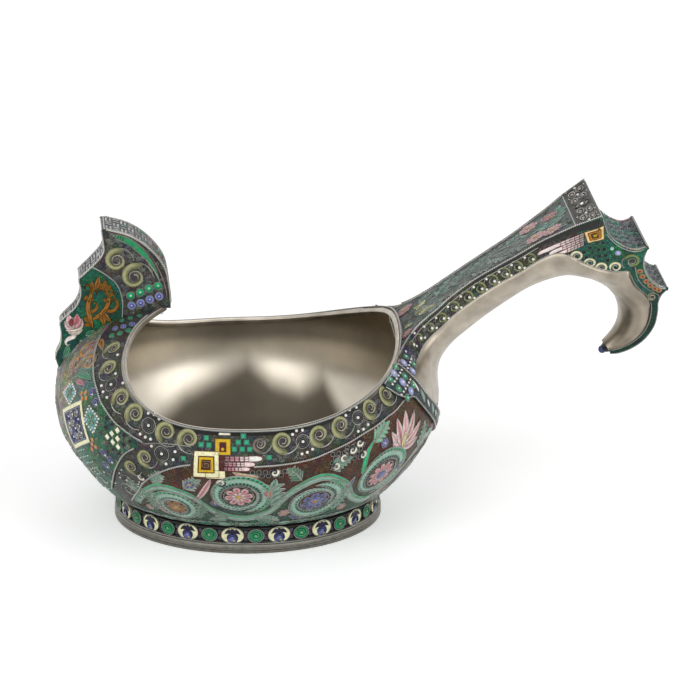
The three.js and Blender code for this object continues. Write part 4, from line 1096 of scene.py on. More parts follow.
    def dot(self, centre, radius, colour=WHITE, count=8, tall=0.75):
        self.cell_at(centre, circle(radius, count), colour * 0.85, colour,
                     rise=radius * tall * 0.6, base=radius * tall * 0.4)

    def dots_along(self, line, gap, radius, colour=WHITE):
        line = np.asarray(line, float)
        way = way_along(self.face.at(line[:, 0], line[:, 1]))
        for at in np.linspace(0, way[-1], max(1, round(way[-1] / gap)) + 1):
            self.dot((np.interp(at, way, line[:, 0]), np.interp(at, way, line[:, 1])), radius, colour, 6)

    def oval(self, centre, wide, high, edge, middle, turn=0.0, rise=0.25, wire=0.13, count=14):
        shape = self.here(centre, circle(wide / 2, count, high / wide), turn)
        self.cell(shape, edge, middle, rise=rise)
        if wire:
            self.wire(shape, wire, closed=True)

    def eye(self, centre, radius, colour, ring=INK, middle=WHITE, stretch=1.0):
        """A round cell with a dark ring and a light dot in it."""
        self.oval(centre, 2 * radius, 2 * radius * stretch, colour * 0.8, colour, rise=0.12)
        over = self.raised(0.16)
        over.wire_at(centre, circle(radius * 0.45, 10, stretch), 0.14, closed=True, high=ring, lift=0.03)
        over.cell_at(centre, circle(radius * 0.22, 6, stretch), middle, rise=0.05)

    def shell(self, centre, radius, start=-10.0, hand=-1, turns=2.3, light=OLIVE_LIGHT, middle=OLIVE,
              dark=OLIVE_DARK, wire=0.22, high=linear("#cdc4b6"), tail=WIRE_HIGH, heart=linear("#443d3f")):
        """A wire coil that shrinks by the same share each turn, with a shaded band in its outer turn."""
        theta = np.linspace(0, 2 * math.pi * turns, int(26 * turns))
        a = math.radians(start) + hand * theta
        r = radius * 1.3 * np.exp(-0.135 * theta)
        ring = np.stack([np.cos(a), np.sin(a)], axis=1)
        deg = np.degrees(theta)
        inside = (deg > 205) & (deg < 575)
        self.cell_at(centre, (r[:, None] * ring)[inside], heart, heart * 0.6, rise=0.02, base=0.03)
        band = (deg > 46) & (deg < 430)
        full = np.clip((deg - 40) / 26, 0.05, 1) ** 0.5 * np.clip((445 - deg) / 150, 0.05, 1) ** 0.5
        bloom = np.clip((deg - 46) / 60, 0.25, 1)[band, None]
        for first, last, outer_tint, inner_tint in (
            (0.0, 0.5, light, light * 0.85), (0.5, 0.8, middle, middle * 0.6), (0.8, 1.0, dark, dark),
        ):
            edges = [((r * (1 - 0.53 * full * part))[:, None] * ring)[band] for part in (first, last)]
            tints = [dark + (tint - dark) * bloom for tint in (outer_tint, inner_tint)]
            lines = [self.here(centre, edge) for edge in edges]
            self.ribbon(*lines, *tints, rise=0.14 if first == 0 else 0.02)
        line = self.here(centre, r[:, None] * ring)
        cut, turn = int(np.argmax(deg > 60)), int(np.argmax(deg > 300))
        self.wire(line[: cut + 1], wire, lift=0.15, high=tail)
        self.wire(line[cut : turn + 1], wire, lift=0.17, high=light * 1.15)
        self.wire(line[turn:], wire, lift=0.17, high=high)

    def target(self, centre, radius, middle=0.5):
        """Rings of wire on a dark round, with a white dot in the middle."""
        self.cell_at(centre, circle(radius, 16), linear("#2a2b2d"), linear("#1c1d1f"), rise=0.02,
                     base=0.03)
        for share, tone in ((1.0, 1.0), (0.74, 0.45), (0.5, 0.4)):
            self.wire_at(centre, circle(radius * share, 18), 0.16, closed=True, high=WIRE_HIGH * tone)
        self.dot(centre, middle)

    def curl(self, centre, radius, start=0.0, hand=1, wire=0.13, high=CURL_GREY, turns=1.6, lift=0.06):
        self.wire_at(centre, coil(radius, turns, start, hand), wire, high=high, lift=lift)

    def tile(self, centre, size, colour, middle=None, shape=None, wire=0.12, rise=0.1, high=WIRE_HIGH):
        shape = self.here(centre, rectangle(size, size) if shape is None else shape)
        self.cell(shape, colour, middle, rise=rise)
        if wire:
            self.wire(shape, wire, closed=True, high=high)

    def leaf(self, root, tip, wide, bend, edge, heart, wire=0.15, count=12, high=WIRE_HIGH):
        """A pointed leaf or petal from root to tip, bent sideways by `bend` mm."""
        root, tip = np.asarray(root, float), np.asarray(tip, float)
        t = np.linspace(0, 1, count)
        one = self.here(root, [(1.0, 0.0), (0.0, 1.0)]) - root
        toward = (tip - root) @ np.linalg.inv(one)
        axis = toward / max(np.linalg.norm(toward), 1e-6)
        side = np.array([-axis[1], axis[0]])
        spine = t[:, None] * toward + (np.sin(np.pi * t) * bend)[:, None] * side
        half = (wide / 2 * np.sin(np.pi * t**0.8) ** 0.8)[:, None]
        left, right = (root + (spine + s * half * side) @ one for s in (1, -1))
        middle = root + spine @ one
        self.ribbon(left, middle, edge, heart, rise=0.06)
        self.ribbon(middle, right, heart, edge, rise=0.06)
        if wire:
            self.wire(np.vstack([left, right[::-1][1:]]), wire, lift=0.12, high=high)
            if np.linalg.norm(toward) > 2.5:
                self.wire(middle[1:-2], wire * 0.7, lift=0.13, high=high)

    def frond(self, root, tip, bend, edge, heart, lobes=4, wide=0.42):
        """A leafy spray: curved lobes on both sides of a stalk, smaller towards the tip."""
        root, tip = np.asarray(root, float), np.asarray(tip, float)
        one = self.here(root, [(1.0, 0.0), (0.0, 1.0)]) - root
        toward = (tip - root) @ np.linalg.inv(one)
        long = np.linalg.norm(toward)
        axis = toward / long
        side = np.array([-axis[1], axis[0]])
        for k in range(lobes):
            t = 0.08 + 0.7 * k / lobes
            at = t * toward + math.sin(math.pi * t) * bend * side
            size = long * (0.42 - 0.2 * t)
            for s in (1, -1):
                end = at + (axis * 0.75 + side * s * 0.85) * size
                self.leaf(root + at @ one, root + end @ one, size * wide, -s * size * 0.16, edge, heart)
        spine = np.linspace(0, 0.8, 8)
        points = spine[:, None] * toward + (np.sin(np.pi * spine) * bend)[:, None] * side
        self.leaf(root + points[-2] @ one, tip, long * 0.16, 0, edge, heart)
        self.wire(root + points @ one, 0.2, lift=0.14)

    def flower(self, centre, radius, petals, edge, heart, eye_tint, turn=0.0, wide=0.62, wire=0.14):
        for k in range(petals):
            a = math.radians(360 * k / petals + turn)
            turned_by = np.array([[math.cos(a), math.sin(a)], [-math.sin(a), math.cos(a)]])
            shape = PETAL * [radius, radius * wide * 5.5 / petals] @ turned_by
            spots = self.here(centre, shape)
            self.cell(spots, edge, heart, rise=0.14)
            if wire:
                self.wire(spots, wire, closed=True, lift=0.12)
        self.cell_at(centre, circle(radius * 0.26, 10), eye_tint * 0.6, eye_tint, rise=0.16, base=0.16)

    def stem(self, line, wide, edge, heart, wire=0.17, dots=None, taper=True, high=WIRE_HIGH):
        """A broad enamel stem along a line, wired on both edges."""
        line = np.asarray(line, float)
        way = way_along(self.face.at(line[:, 0], line[:, 1]))
        count = max(6, int(way[-1] / 0.8))
        at = np.linspace(0, way[-1], count)
        u, v = np.interp(at, way, line[:, 0]), np.interp(at, way, line[:, 1])
        points, out = self.face.at(u, v), self.face.normal(u, v)
        side = unit(np.cross(out, unit(np.gradient(points, axis=0))))
        t = at / way[-1]
        narrowed = np.clip(np.minimum(t / 0.12, (1 - t) / 0.55), 0.08, 1)
        half = wide / 2 * (narrowed if taper else np.ones(count))
        eu, ev = self.face.slopes(u, v)
        euu, evv, euv = (eu * eu).sum(1), (ev * ev).sum(1), (eu * ev).sum(1)
        rows = []
        for s in (1.0, 0.0, -1.0):
            step = side * (half * s)[:, None]
            su, sv = (eu * step).sum(1), (ev * step).sum(1)
            det = euu * evv - euv * euv
            rows.append(np.stack([u + (su * evv - sv * euv) / det, v + (sv * euu - su * euv) / det],
                                 axis=1))
        left, middle, right = rows
        self.ribbon(left, middle, edge, heart, rise=0.05)
        self.ribbon(middle, right, heart, edge, rise=0.05)
        for side_line in (left, right):
            self.wire(side_line, wire, lift=0.12, high=high)
        if dots is not None:
            for k in range(2, count - 3):
                rim, tall = (left, right)[k % 2][k], half[k]
                tip = middle[k + 1] * 0.65 + (left, right)[k % 2][k + 1] * 0.35
                if tall > 0.8:
                    root = rim * 0.85 + middle[k] * 0.15
                    self.raised(0.06).leaf(root, tip, 0.5 * tall, 0.1, dots, dots, wire=0, count=5)
        return left, middle, right


def finish_craft(name, craft, slot, mirrored=True):
    make = pair if mirrored else piece
    make(name + "_wirework", craft.wires, WIRE_SILVER, "wire_silver")
    make(name + "_cells", craft.cells, ENAMEL, slot)


def scatter(craft, count, seed, place, low=0.55, high=0.6, tint=CURL_GREY, wire=0.12):
    """Small wire curls thrown over a ground. place() turns two random shares into u, v or None."""
    rng = np.random.default_rng(seed)
    for k in range(count):
        spot = place(rng.random(), rng.random())
        radius, start = low + high * rng.random(), 360 * rng.random()
        if spot is not None:
            craft.curl(spot, radius, start, 1 if k % 2 else -1, wire, tint, 1.4, 0.04)


def dress_rim_band():
    c = Craft(BOWL)
    # curls that fill the ground between the larger coils
    def ground(a, b):
        u = -157 + 114 * a
        top = float(mouth_way(u)) - LIP_WIDTH - 1.2
        low = border_at(RIM_BORDER, -u) if u > -124.7 else border_at(PANEL_UPPER, -u)
        return (u, low + 1.2 + (top - low - 1.2) * b)

    scatter(c, 210, 5, ground, tint=linear("#a4a49c"))
    for spot, r, start in (
        ((-152.4, 80.2), 4.2, -60), ((-146.3, 72.2), 4.4, -68), ((-134.8, 62.5), 4.6, -73),
        ((-128.3, 58.0), 4.8, -68), ((-117.4, 53.2), 4.7, -55), ((-110.4, 51.4), 4.6, -74),
        ((-83.0, 50.9), 4.7, -12), ((-72.0, 52.2), 4.7, -12), ((-65.0, 54.5), 4.7, -10),
        ((-53.9, 58.7), 4.4, 0), ((-46.2, 62.0), 4.4, -9), ((-124.5, 41.6), 4.1, -8),
        ((-130.3, 36.0), 3.6, -17),
    ):
        c.shell((spot[0] + 0.35, spot[1] + 0.15), r, start)
    c.shell((-89.3, 50.3), 3.3, -10, light=linear("#857a70"), middle=linear("#5d524c"),
            dark=linear("#2a2522"))
    for spot, r in (((-140.9, 66.6), 2.8), ((-123.0, 54.7), 3.0), ((-118.6, 44.4), 3.0),
                    ((-76.8, 50.3), 2.7), ((-58.6, 56.2), 2.7)):
        c.target(spot, r, 0.62)
    c.target((-134.5, 27.7), 2.9, 0.42)
    for spot in (
        (-141.6, 71.2), (-144.6, 64.9), (-142.7, 62.9), (-136.5, 68.5), (-140.2, 61.4), (-123.5, 59.3),
        (-121.5, 59.1), (-119.7, 57.8), (-125.7, 50.8), (-123.9, 50.0), (-122.1, 49.6), (-121.8, 46.9),
        (-114.3, 46.0), (-115.0, 42.6), (-117.4, 40.4), (-79.8, 53.4), (-78.6, 54.7), (-76.8, 54.7),
        (-73.9, 46.9), (-75.5, 45.9), (-77.1, 45.5), (-62.7, 58.0), (-61.1, 59.8), (-58.6, 60.2),
        (-58.9, 51.0), (-57.0, 51.3), (-55.2, 52.7), (-146.9, 78.7),
    ):
        c.dot(spot, 0.62)
    for spot in ((-134.8, 33.1), (-136.5, 30.8), (-137.3, 28.1), (-129.1, 28.6), (-129.9, 27.1),
                 (-130.6, 25.6), (-128.2, 27.9), (-129.0, 26.4), (-129.7, 24.9)):
        c.dot(spot, 0.36)
    c.curl((-136.5, 21.0), 4.2, 200, -1, 0.18, WIRE_HIGH, 1.9)
    # long wire that ties the dots at the panel's corner to the band
    c.wire(through([(-124.0, 47.4), (-120.5, 48.3), (-115.0, 48.8), (-109.5, 48.6)], 6), 0.2)
    # squares: green ones in steps, the small yellow square, the white bar
    for spot in ((-104.9, 52.4), (-106.4, 49.7), (-104.1, 49.7), (-111.8, 43.6), (-94.1, 53.5),
                 (-95.6, 51.1), (-93.2, 51.1), (-96.7, 48.4), (-94.5, 48.4), (-92.3, 48.4),
                 (-86.7, 44.9)):
        c.tile(spot, 2.2, EMERALD_DARK * 1.4, linear("#3fae84"), high=linear("#5c6468"))
    c.tile((-99.6, 54.2), 0, CREAM, WHITE, rectangle(4.4, 0.8))
    small = np.array([(-102.3, 46.0), (-97.8, 46.0), (-97.8, 52.3), (-102.3, 52.3)])
    c.patch(small, YELLOW, 0.1, 1.0, high=linear("#8a6a3c"))
    c.raised(0.05).patch(small * [0.42, 0.58] + small.mean(axis=0) * [0.58, 0.42], MAROON * 0.6, 0.1,
                         wire=0.12,
                         high=linear("#8a5a3c"))
    c.raised(0.12).cell_at((-100.1, 48.3), circle(0.65, 8), AMBER, YELLOW)
    # square whirl: a cream frame with a stepped corner, a yellow one, and a square coil in the heart
    c.patch([(-105.4, 35.6), (-99.5, 35.6), (-99.5, 39.4), (-105.4, 39.4)], CREAM, 0.12, high=MAROON)
    whirl = [(-109.2, 36.0), (-101.4, 36.4), (-101.2, 47.3), (-108.4, 47.1)]
    for share, tint, base in (
        (1.0, CREAM, 0.16), (0.64, MAROON, 0.2), (0.6, YELLOW, 0.24), (0.37, MAROON * 0.6, 0.28),
    ):
        c.patch(whirl, tint, base, share, high=linear("#b0785c") if share == 1 else linear("#6f3a22"))
    heart = np.array([(1.7, -1.7), (1.7, 1.6), (-1.6, 1.6), (-1.6, -0.9), (0.8, -0.9), (0.8, 0.7),
                      (-0.7, 0.7), (-0.7, 0.0), (0.1, 0.0)])
    c.raised(0.3).wire_at((-105.0, 41.7), heart, 0.2, lift=0.08, high=linear("#c8a878"))
    # pink fringe: rows of checked cells that end in pale finger tips
    for s, tall, reach, tip, end in ((44.5, 2.3, 11.0, 5.0, WHITE), (42.2, 2.0, 9.2, 4.0, PINK_PALE),
                                     (40.2, 1.7, 8.2, 3.0, PINK_PALE)):
        wide = reach / 6
        c.cell_at((-100.9, s), rectangle(reach + 0.4, tall) + [reach / 2, 0], MAROON * 0.5, rise=0,
                  base=0.04)
        for k in range(6):
            light = (MAROON, PINK * 0.45, PINK * 0.7, PINK * 0.85, PINK_PALE * 0.85, PINK_PALE)[k]
            for half in (-1, 1):
                spot = c.here((-100.9, s), [((k + 0.5) * wide, half * tall * 0.22)])[0]
                c.tile(spot, 0, light * 0.8, light, rectangle(wide * 0.78, tall * 0.36), wire=0)
        shape = np.array([(0, -0.5), (0.6, -0.5), (0.88, -0.34), (1, 0), (0.88, 0.34), (0.6, 0.5),
                          (0, 0.5)])
        finger = c.here((-100.9, s), shape * [tip, tall * 0.92] + [reach, 0])
        c.cell(finger, end * 0.9, end, rise=0.2)
        c.wire_at((-100.9, s), shape * [tip + 0.3, tall * 1.1] + [reach, 0], 0.13, high=ROSY_WIRE)
        c.wire_at((-100.9, s), [(0, -tall / 2 - 0.05), (reach, -tall / 2 - 0.05)], 0.13, high=ROSY_WIRE)
    # rows of ovals where the band passes under the prow
    for spot in ((-164.2, 87.7), (-161.4, 90.5), (-158.7, 93.4)):
        c.eye(spot, 2.1, LILAC, VIOLET_DARK, LILAC_LIGHT, stretch=0.6)
    for spot in ((-168.3, 91.8), (-166.4, 95.0), (-164.4, 98.4), (-160.6, 84.6), (-157.8, 87.2),
                 (-155.0, 90.2)):
        c.oval(spot, 3.8, 2.2, EMERALD_DARK, linear("#3f9a74"))
    finish_craft("rim_band", c, "slate_enamel")


def dress_left_panel():
    c = Craft(BOWL)

    def ground(a, b):
        u = -179 + 50 * a
        low = border_at(PANEL_LOWER, -u) if u > -147.9 else 9
        return (u, low + 1 + (border_at(PANEL_UPPER, -u) - low - 2) * b)

    scatter(c, 190, 9, ground, tint=linear("#a9a696"))
    # lozenges with a teal heart and a white dotted edge
    for corners in ([(-160.6, 60.8), (-155.7, 58.4), (-158.8, 52.3), (-164.7, 54.9)],
                    [(-147.2, 55.9), (-142.1, 52.6), (-144.4, 46.0), (-149.3, 49.8)]):
        corners = np.array(corners)
        middle = corners.mean(axis=0)
        c.patch(corners, TEAL, 0.1, 0.9, wire=0)
        c.raised(0.06).patch(corners, EMERALD * 1.2, 0.1, 0.42, wire=0.12)
        c.raised(0.05).dots_along(np.vstack([corners, corners[:1]]), 1.5, 0.5)
        for k in range(4):
            c.raised(0.08).dot(middle * 0.4 + corners[k] * 0.6, 0.5, LILAC_LIGHT, 6)
            tip = middle * 0.2 + (corners[k] + corners[k - 1]) * 0.4
            c.raised(0.08).leaf(middle, tip, 1.2, 0, INK, EMERALD_DARK, wire=0.1, count=6)
    # upright cream frame with ink florets inside
    outer = np.array([(-164.7, 48.2), (-159.4, 33.6), (-146.6, 41.6), (-151.6, 56.9)])
    c.patch(outer, CREAM, 0.16, wire=0.18)
    c.raised(0.1).patch(outer, INK, 0.1, 0.81, wire=0)
    c.raised(0.14).patch(outer, VIOLET_DARK * 0.4, 0.1, 0.75, wire=0.2, high=LILAC_LIGHT)
    over = c.raised(0.2)
    for row in range(4):
        for column in range(3):
            s, t = (row + 0.5) / 4, (column + 0.5) / 3
            top = outer[0] * (1 - t) + outer[3] * t
            low = outer[1] * (1 - t) + outer[2] * t
            spot = outer.mean(axis=0) + ((top * (1 - s) + low * s) - outer.mean(axis=0)) * 0.66
            tone = WHITE if (row + column) % 3 else LILAC
            over.curl(spot, 1.7, 90 * row + 60 * column, 1 if column % 2 else -1, 0.26, tone)
            over.dot(over.here(spot, [(1.1, 0.8)])[0], 0.5, WHITE if (row + column) % 2 else LILAC_LIGHT, 6)
    # orange squares, blue florets
    for spot in ((-152.6, 59.0), (-150.6, 60.1), (-151.6, 57.4), (-149.6, 58.3), (-145.4, 43.0),
                 (-144.2, 40.4), (-146.4, 38.6), (-145.9, 41.0)):
        c.tile(spot, 1.7, ORANGE, ORANGE * 1.25)
    for spot in ((-147.6, 61.3), (-144.6, 58.2), (-140.8, 39.0), (-138.4, 36.6), (-141.6, 33.2)):
        c.oval(spot, 3.8, 3.6, VIOLET_DARK, VIOLET * 0.8, rise=0.06)
        c.raised(0.1).curl(spot, 1.5, 60, 1, 0.2, LILAC_LIGHT)
        c.raised(0.12).dot(c.here(spot, [(0.9, -0.8)])[0], 0.42, WHITE, 6)
    # lozenge checks: black ones round cream ones
    for spot in ((-138.7, 53.6), (-136.6, 52.1), (-138.9, 50.0), (-131.5, 49.0), (-129.3, 47.3),
                 (-131.7, 45.3), (-138.2, 43.4), (-136.0, 41.8), (-138.4, 40.2), (-133.9, 40.6),
                 (-133.8, 52.6), (-140.6, 47.4)):
        c.tile(spot, 0, INK, INK, diamond(2.9, 2.6), high=linear("#7d9488"), rise=0.04)
    for spot in ((-134.1, 50.2), (-136.3, 48.4), (-138.2, 46.5), (-134.0, 47.0), (-136.0, 45.0),
                 (-134.0, 43.6)):
        c.tile(spot, 0, CREAM, WHITE, diamond(2.7, 2.8), high=linear("#b9b98c"))
    # dotted scales on the lower curve
    for k in range(5):
        for j in range(3):
            spot = (-152.6 + 1.1 * k - 2.4 * j, 36.0 - 2.5 * k - 1.3 * j)
            c.tile(spot, 0, EMERALD_DARK, TEAL, diamond(2.2, 2.2), wire=0)
            c.dot(c.here(spot, [(1.1, 0.5)])[0], 0.28)
    # ochre scrolls and leaves under the prow, with pale stalks beside them
    for spot, r, start, hand in (((-165.8, 74.0), 4.0, 100, 1), ((-158.0, 70.8), 3.6, 200, -1),
                                 ((-167.0, 66.5), 3.0, 20, 1)):
        c.raised(0.06).stem(c.here(spot, coil(r, 1.5, start, hand, core=0.8)), 2.0, OCHRE_DARK, OCHRE, 0.14)
    for root, tip, wide, bend, edge, heart in (
        ((-166.5, 79.5), (-156.5, 77.5), 2.6, 1.2, OCHRE, OCHRE_DARK),
        ((-161.0, 66.0), (-152.5, 70.5), 3.0, -1.0, TEAL, EMERALD_DARK),
        ((-160.0, 64.5), (-150.6, 65.5), 2.6, 0.8, EMERALD, EMERALD_DARK),
        ((-163.5, 64.5), (-170.5, 70.0), 2.8, 0.8, PINK * 0.7, ROSE * 0.8),
        ((-170.5, 62.5), (-175.5, 72.5), 2.8, 0.8, TEAL, EMERALD_DARK),
        ((-158.5, 62.0), (-153.0, 62.4), 2.0, 0.4, PINK * 0.8, ROSE),
        ((-168.5, 59.0), (-175.0, 64.0), 2.6, -0.8, SAND, OCHRE_DARK),
        ((-169.0, 52.0), (-175.5, 57.0), 2.6, -0.8, SAND, TEAL),
        ((-169.0, 44.0), (-175.5, 50.0), 2.6, -0.8, TEAL_PALE * 0.8, TEAL),
    ):
        c.leaf(root, tip, wide, bend, edge, heart)
    for k, (spot, r) in enumerate((((-147.5, 27.5), 1.9), ((-155.5, 24.5), 2.2), ((-151.0, 20.0), 1.9),
                                   ((-162.5, 28.5), 2.3), ((-168.5, 36.5), 2.5), ((-161.5, 18.0), 2.2),
                                   ((-171.5, 26.5), 2.4), ((-171.5, 16.5), 2.2), ((-156.0, 14.0), 1.8),
                                   ((-166.0, 12.0), 1.8), ((-144.3, 22.5), 1.5))):
        c.shell(spot, r, 70 * k, 1 if k % 2 else -1, light=linear("#8fb09c"), middle=TEAL * 0.6,
                dark=EMERALD_DARK * 0.4, wire=0.16)
        c.dot(c.here(spot, [(r + 0.9, 0.4)])[0], 0.42)
    finish_craft("prow_side_panel", c, "green_enamel")


def dress_lower_panel():
    """A flowing scroll of dotted stems, fronds and blossoms round the lower wall."""
    c = Craft(BOWL)

    def ground(a, b):
        u = -138 + 137 * a
        table = RIM_BORDER if u < -46 else COLLAR_SHARES[:, [0, 1]]
        spot = (u, 9 + (border_at(table, -u) - 10.5) * b)
        return None if u < -127.7 and spot[1] > border_at(PANEL_LOWER, -u) - 3 else spot

    scatter(c, 330, 7, ground, 0.6, 0.7, linear("#857a68"))
    stem_line = through([(-137, 13), (-131, 20), (-122, 27.5), (-112, 24.5), (-104, 14.5), (-95, 10.5),
                         (-86, 15), (-79, 27.5), (-70, 33.5), (-61, 28), (-54, 17), (-44, 12),
                         (-35, 19), (-28.5, 32), (-21, 37), (-11, 30), (-1, 27)], 6)
    c.stem(stem_line + [0, 1.7], 1.3, EMERALD, FRESH_GREEN, taper=False)
    c.stem(stem_line, 2.4, TEAL_PALE * 0.4, TEAL_PALE * 0.75, taper=False)
    blooms = (
        ((-118.8, 16.0), 6.6, 190, -1, 6, (OCHRE, OCHRE_DARK, YELLOW)),
        ((-95.8, 26.0), 8.6, -80, 1, 8, (PINK_PALE, ROSE, YELLOW)),
        ((-70.0, 20.0), 8.6, 100, -1, 7, (LILAC, VIOLET_DARK, AMBER)),
        ((-46.0, 28.0), 9.8, -90, 1, 11, (PINK_PALE, ROSE * 1.3, YELLOW)),
        ((-21.0, 21.5), 7.4, 100, -1, 6, (LILAC_LIGHT, VIOLET, AMBER)),
    )
    for spot, r, start, hand, petals, (edge, heart, eye_tint) in blooms:
        broad = coil(r * 1.24, 1.35, start, hand, 40, r * 0.8, 1.0) * [1, 0.95]
        slim = coil(r * 1.24 + 2.2, 0.8, start + hand * 20, hand, 30, r * 1.06, 1.0) * [1, 0.95]
        inner, outer, dots = TEAL_PALE * 0.4, TEAL_PALE * 0.8, linear("#234237")
        c.raised(0.06).stem(c.here(spot, broad), 5.0, inner, outer, dots=dots)
        c.raised(0.1).stem(c.here(spot, slim), 1.5, EMERALD, FRESH_GREEN)
        c.cell_at(spot, circle(r * 0.66, 24), linear("#3a1a12"), linear("#2a1610"), rise=0.02, base=0.1)
        c.wire_at(spot, circle(r * 0.67, 26), 0.2, closed=True)
        over = c.raised(0.1)
        over.flower(spot, r * 0.62, petals, edge, heart, eye_tint, turn=start)
        over.raised(0.12).flower(spot, r * 0.34, petals, heart, edge, eye_tint, turn=start + 180 / petals)
    fronds = (
        ((-131, 19), (-133.5, 30.0), 0.6), ((-124, 29.5), (-120, 37.0), -0.8),
        ((-113.5, 28.5), (-107, 34.5), 0.8), ((-108.5, 21), (-111.0, 9.5), -0.9),
        ((-90.5, 12), (-81, 8.8), -0.5), ((-85, 19), (-84.5, 35.5), 1.0),
        ((-76.5, 33.5), (-81.5, 40.0), -0.7), ((-68, 37), (-60.5, 41.0), 0.8),
        ((-60, 27), (-60.0, 11.0), -1.0), ((-42, 13), (-33.0, 8.9), 0.6),
        ((-28, 33), (-27.0, 45.0), -0.6), ((-12, 29), (-9, 11.0), -0.8),
        ((-126, 25), (-129.0, 11.0), 0.8), ((-100, 12.5), (-107.5, 9.2), 0.5),
    )
    for k, (root, tip, bend) in enumerate(fronds):
        edge, heart = ((EMERALD, EMERALD_DARK), (EMERALD * 1.15, TEAL), (TEAL_PALE, EMERALD_DARK))[k % 3]
        c.frond(root, tip, bend, edge, heart)
    # long shaded leaves beside the blossoms
    for root, tip, wide, bend, edge, heart in (
        ((-127.5, 17.0), (-121.5, 9.2), 2.8, -1.0, ORANGE, OCHRE_DARK),
        ((-89.5, 36.5), (-97.5, 39.0), 2.6, 0.8, linear("#e8d9c4"), OCHRE),
        ((-104.0, 35.4), (-111.5, 20.5), 2.4, 0.8, PINK_PALE, ROSE),
        ((-78.0, 12.0), (-70.0, 8.8), 2.4, -0.8, LILAC, VIOLET_DARK),
        ((-62.5, 17.0), (-58.0, 31.0), 2.6, -0.8, LILAC, VIOLET_DARK),
        ((-28.5, 28.0), (-26.0, 9.5), 2.6, 0.8, LILAC_LIGHT, VIOLET),
        ((-19.0, 40.5), (-14.0, 33.5), 2.6, 0.8, PINK_PALE, ROSE),
    ):
        c.leaf(root, tip, wide, bend, edge, heart)
    c.rope([(-degrees, share * WALL_LENGTH) for degrees, share in BORDER_TAIL], WIRE, 0.15, 1.9)
    # palmette beside the collar: white petals with rosy hearts, on an emerald arc
    for k, (tip, wide, bend) in enumerate((((-45.0, 42.3), 3.6, 0.8), ((-45.8, 47.0), 3.8, 0.7),
                                           ((-43.2, 51.6), 4.2, 0.5), ((-38.9, 53.4), 4.4, 0.0),
                                           ((-34.2, 52.0), 4.4, -0.5), ((-30.6, 46.6), 4.0, -0.8),
                                           ((-31.6, 40.4), 3.6, -0.8))):
        edge, heart = ((WHITE, ROSE * 1.3), (PINK_PALE, PINK))[k % 2]
        c.raised(0.03 * k).leaf((-39.8, 38.6), tip, wide, bend, edge, heart)
    c.raised(0.24).leaf((-39.8, 38.2), (-39.0, 45.5), 3.0, 0.3, YELLOW, CREAM)
    arc = through([(-54.8, 30.5), (-55.6, 36.5), (-55.0, 42.0), (-52.8, 46.0), (-49.6, 48.6)], 6)
    c.stem(arc, 2.2, EMERALD * 0.8, FRESH_GREEN)
    c.frond((-53.6, 44.6), (-46.6, 51.8), 0.4, EMERALD * 1.2, TEAL_PALE)
    c.raised(0.08).flower((-48.6, 43.4), 2.0, 6, LILAC, VIOLET, LILAC_LIGHT)
    c.raised(0.26).oval((-46.0, 28.0), 5.4, 5.0, VIOLET_DARK, LILAC * 0.7)
    # open mesh of small rings, with cream curls among them
    for u0, v0, columns in ((-92.5, 37.0, 6), (-67.5, 40.2, 6), (-128.0, 33.0, 4), (-63.0, 44.2, 3)):
        for j in range(4):
            for k in range(columns):
                spot = (u0 + 1.9 * k + (j % 2) * 0.95, v0 + 1.75 * j)
                if spot[1] < border_at(RIM_BORDER, -spot[0]) - 1.6:
                    c.cell_at(spot, circle(0.85, 8), INK, linear("#10281f"), rise=0.03)
                    c.wire_at(spot, circle(0.9, 9), 0.13, closed=True)
    for spot, start in (((-60.8, 44.0), 40), ((-57.0, 41.0), 90), ((-58.4, 46.4), 10),
                        ((-66.0, 38.0), 120), ((-85.0, 38.4), 60), ((-127.6, 31.8), 0),
                        ((-101.0, 33.5), 200), ((-63.5, 41.5), 300)):
        c.raised(0.1).cell_at(spot, circle(2.0, 14), INK, rise=0.02)
        c.raised(0.14).stem(c.here(spot, coil(1.6, 1.3, start, -1, 24)), 1.0, CREAM, WHITE, 0.12)
    # small pink and violet blossoms in the gaps
    for spot, r, edge, heart in (((-80.2, 14.0), 2.2, PINK_PALE, ROSE),
                                 ((-111.0, 31.5), 2.0, LILAC, VIOLET_DARK),
                                 ((-56.5, 12.0), 2.0, PINK_PALE, ROSE), ((-36.5, 29.0), 1.9, LILAC, VIOLET),
                                 ((-33.5, 14.0), 1.8, PINK, ROSE), ((-131.5, 12.0), 1.7, PINK_PALE, ROSE),
                                 ((-103.8, 21.5), 1.8, LILAC, VIOLET_DARK),
                                 ((-86.5, 27.5), 1.8, PINK, ROSE)):
        c.raised(0.08).flower(spot, r, 6, edge, heart, YELLOW)
    finish_craft("lower_panel", c, "green_enamel")


def dress_foot_wave():
    """Mint medallions with dark dots and emerald leaves on the wall just above the foot."""
    c = Craft(BOWL)
    for k in range(22):
        u = -178 + 8.2 * k + 1.5
        mint = (TEAL_PALE, TEAL_PALE * 0.75, TEAL)[k % 3]
        shape = c.here((u, 3.6), circle(3.4, 16, 0.95) + [0, 0.2])
        c.cell(shape, mint * 0.8, mint, rise=0.06)
        c.wire(shape, 0.13, closed=True)
        for dx, dy in ((-2.0, 0.8), (-0.8, -0.9), (0.7, 1.0), (1.9, -0.7)):
            c.raised(0.06).cell_at((u, 3.6), circle(0.5, 6) + [dx, dy], linear("#2f4a40"), rise=0.03)
        for side, tone in ((-1, EMERALD), (1, TEAL)):
            root, tip = (u + 4.1 + side * 0.4, 0.9), (u + 4.1 + side * 1.5, 7.6)
            c.leaf(root, tip, 2.6, side * 0.5, tone, tone * 0.6, wire=0.12)
    finish_craft("foot_wave", c, "green_enamel")


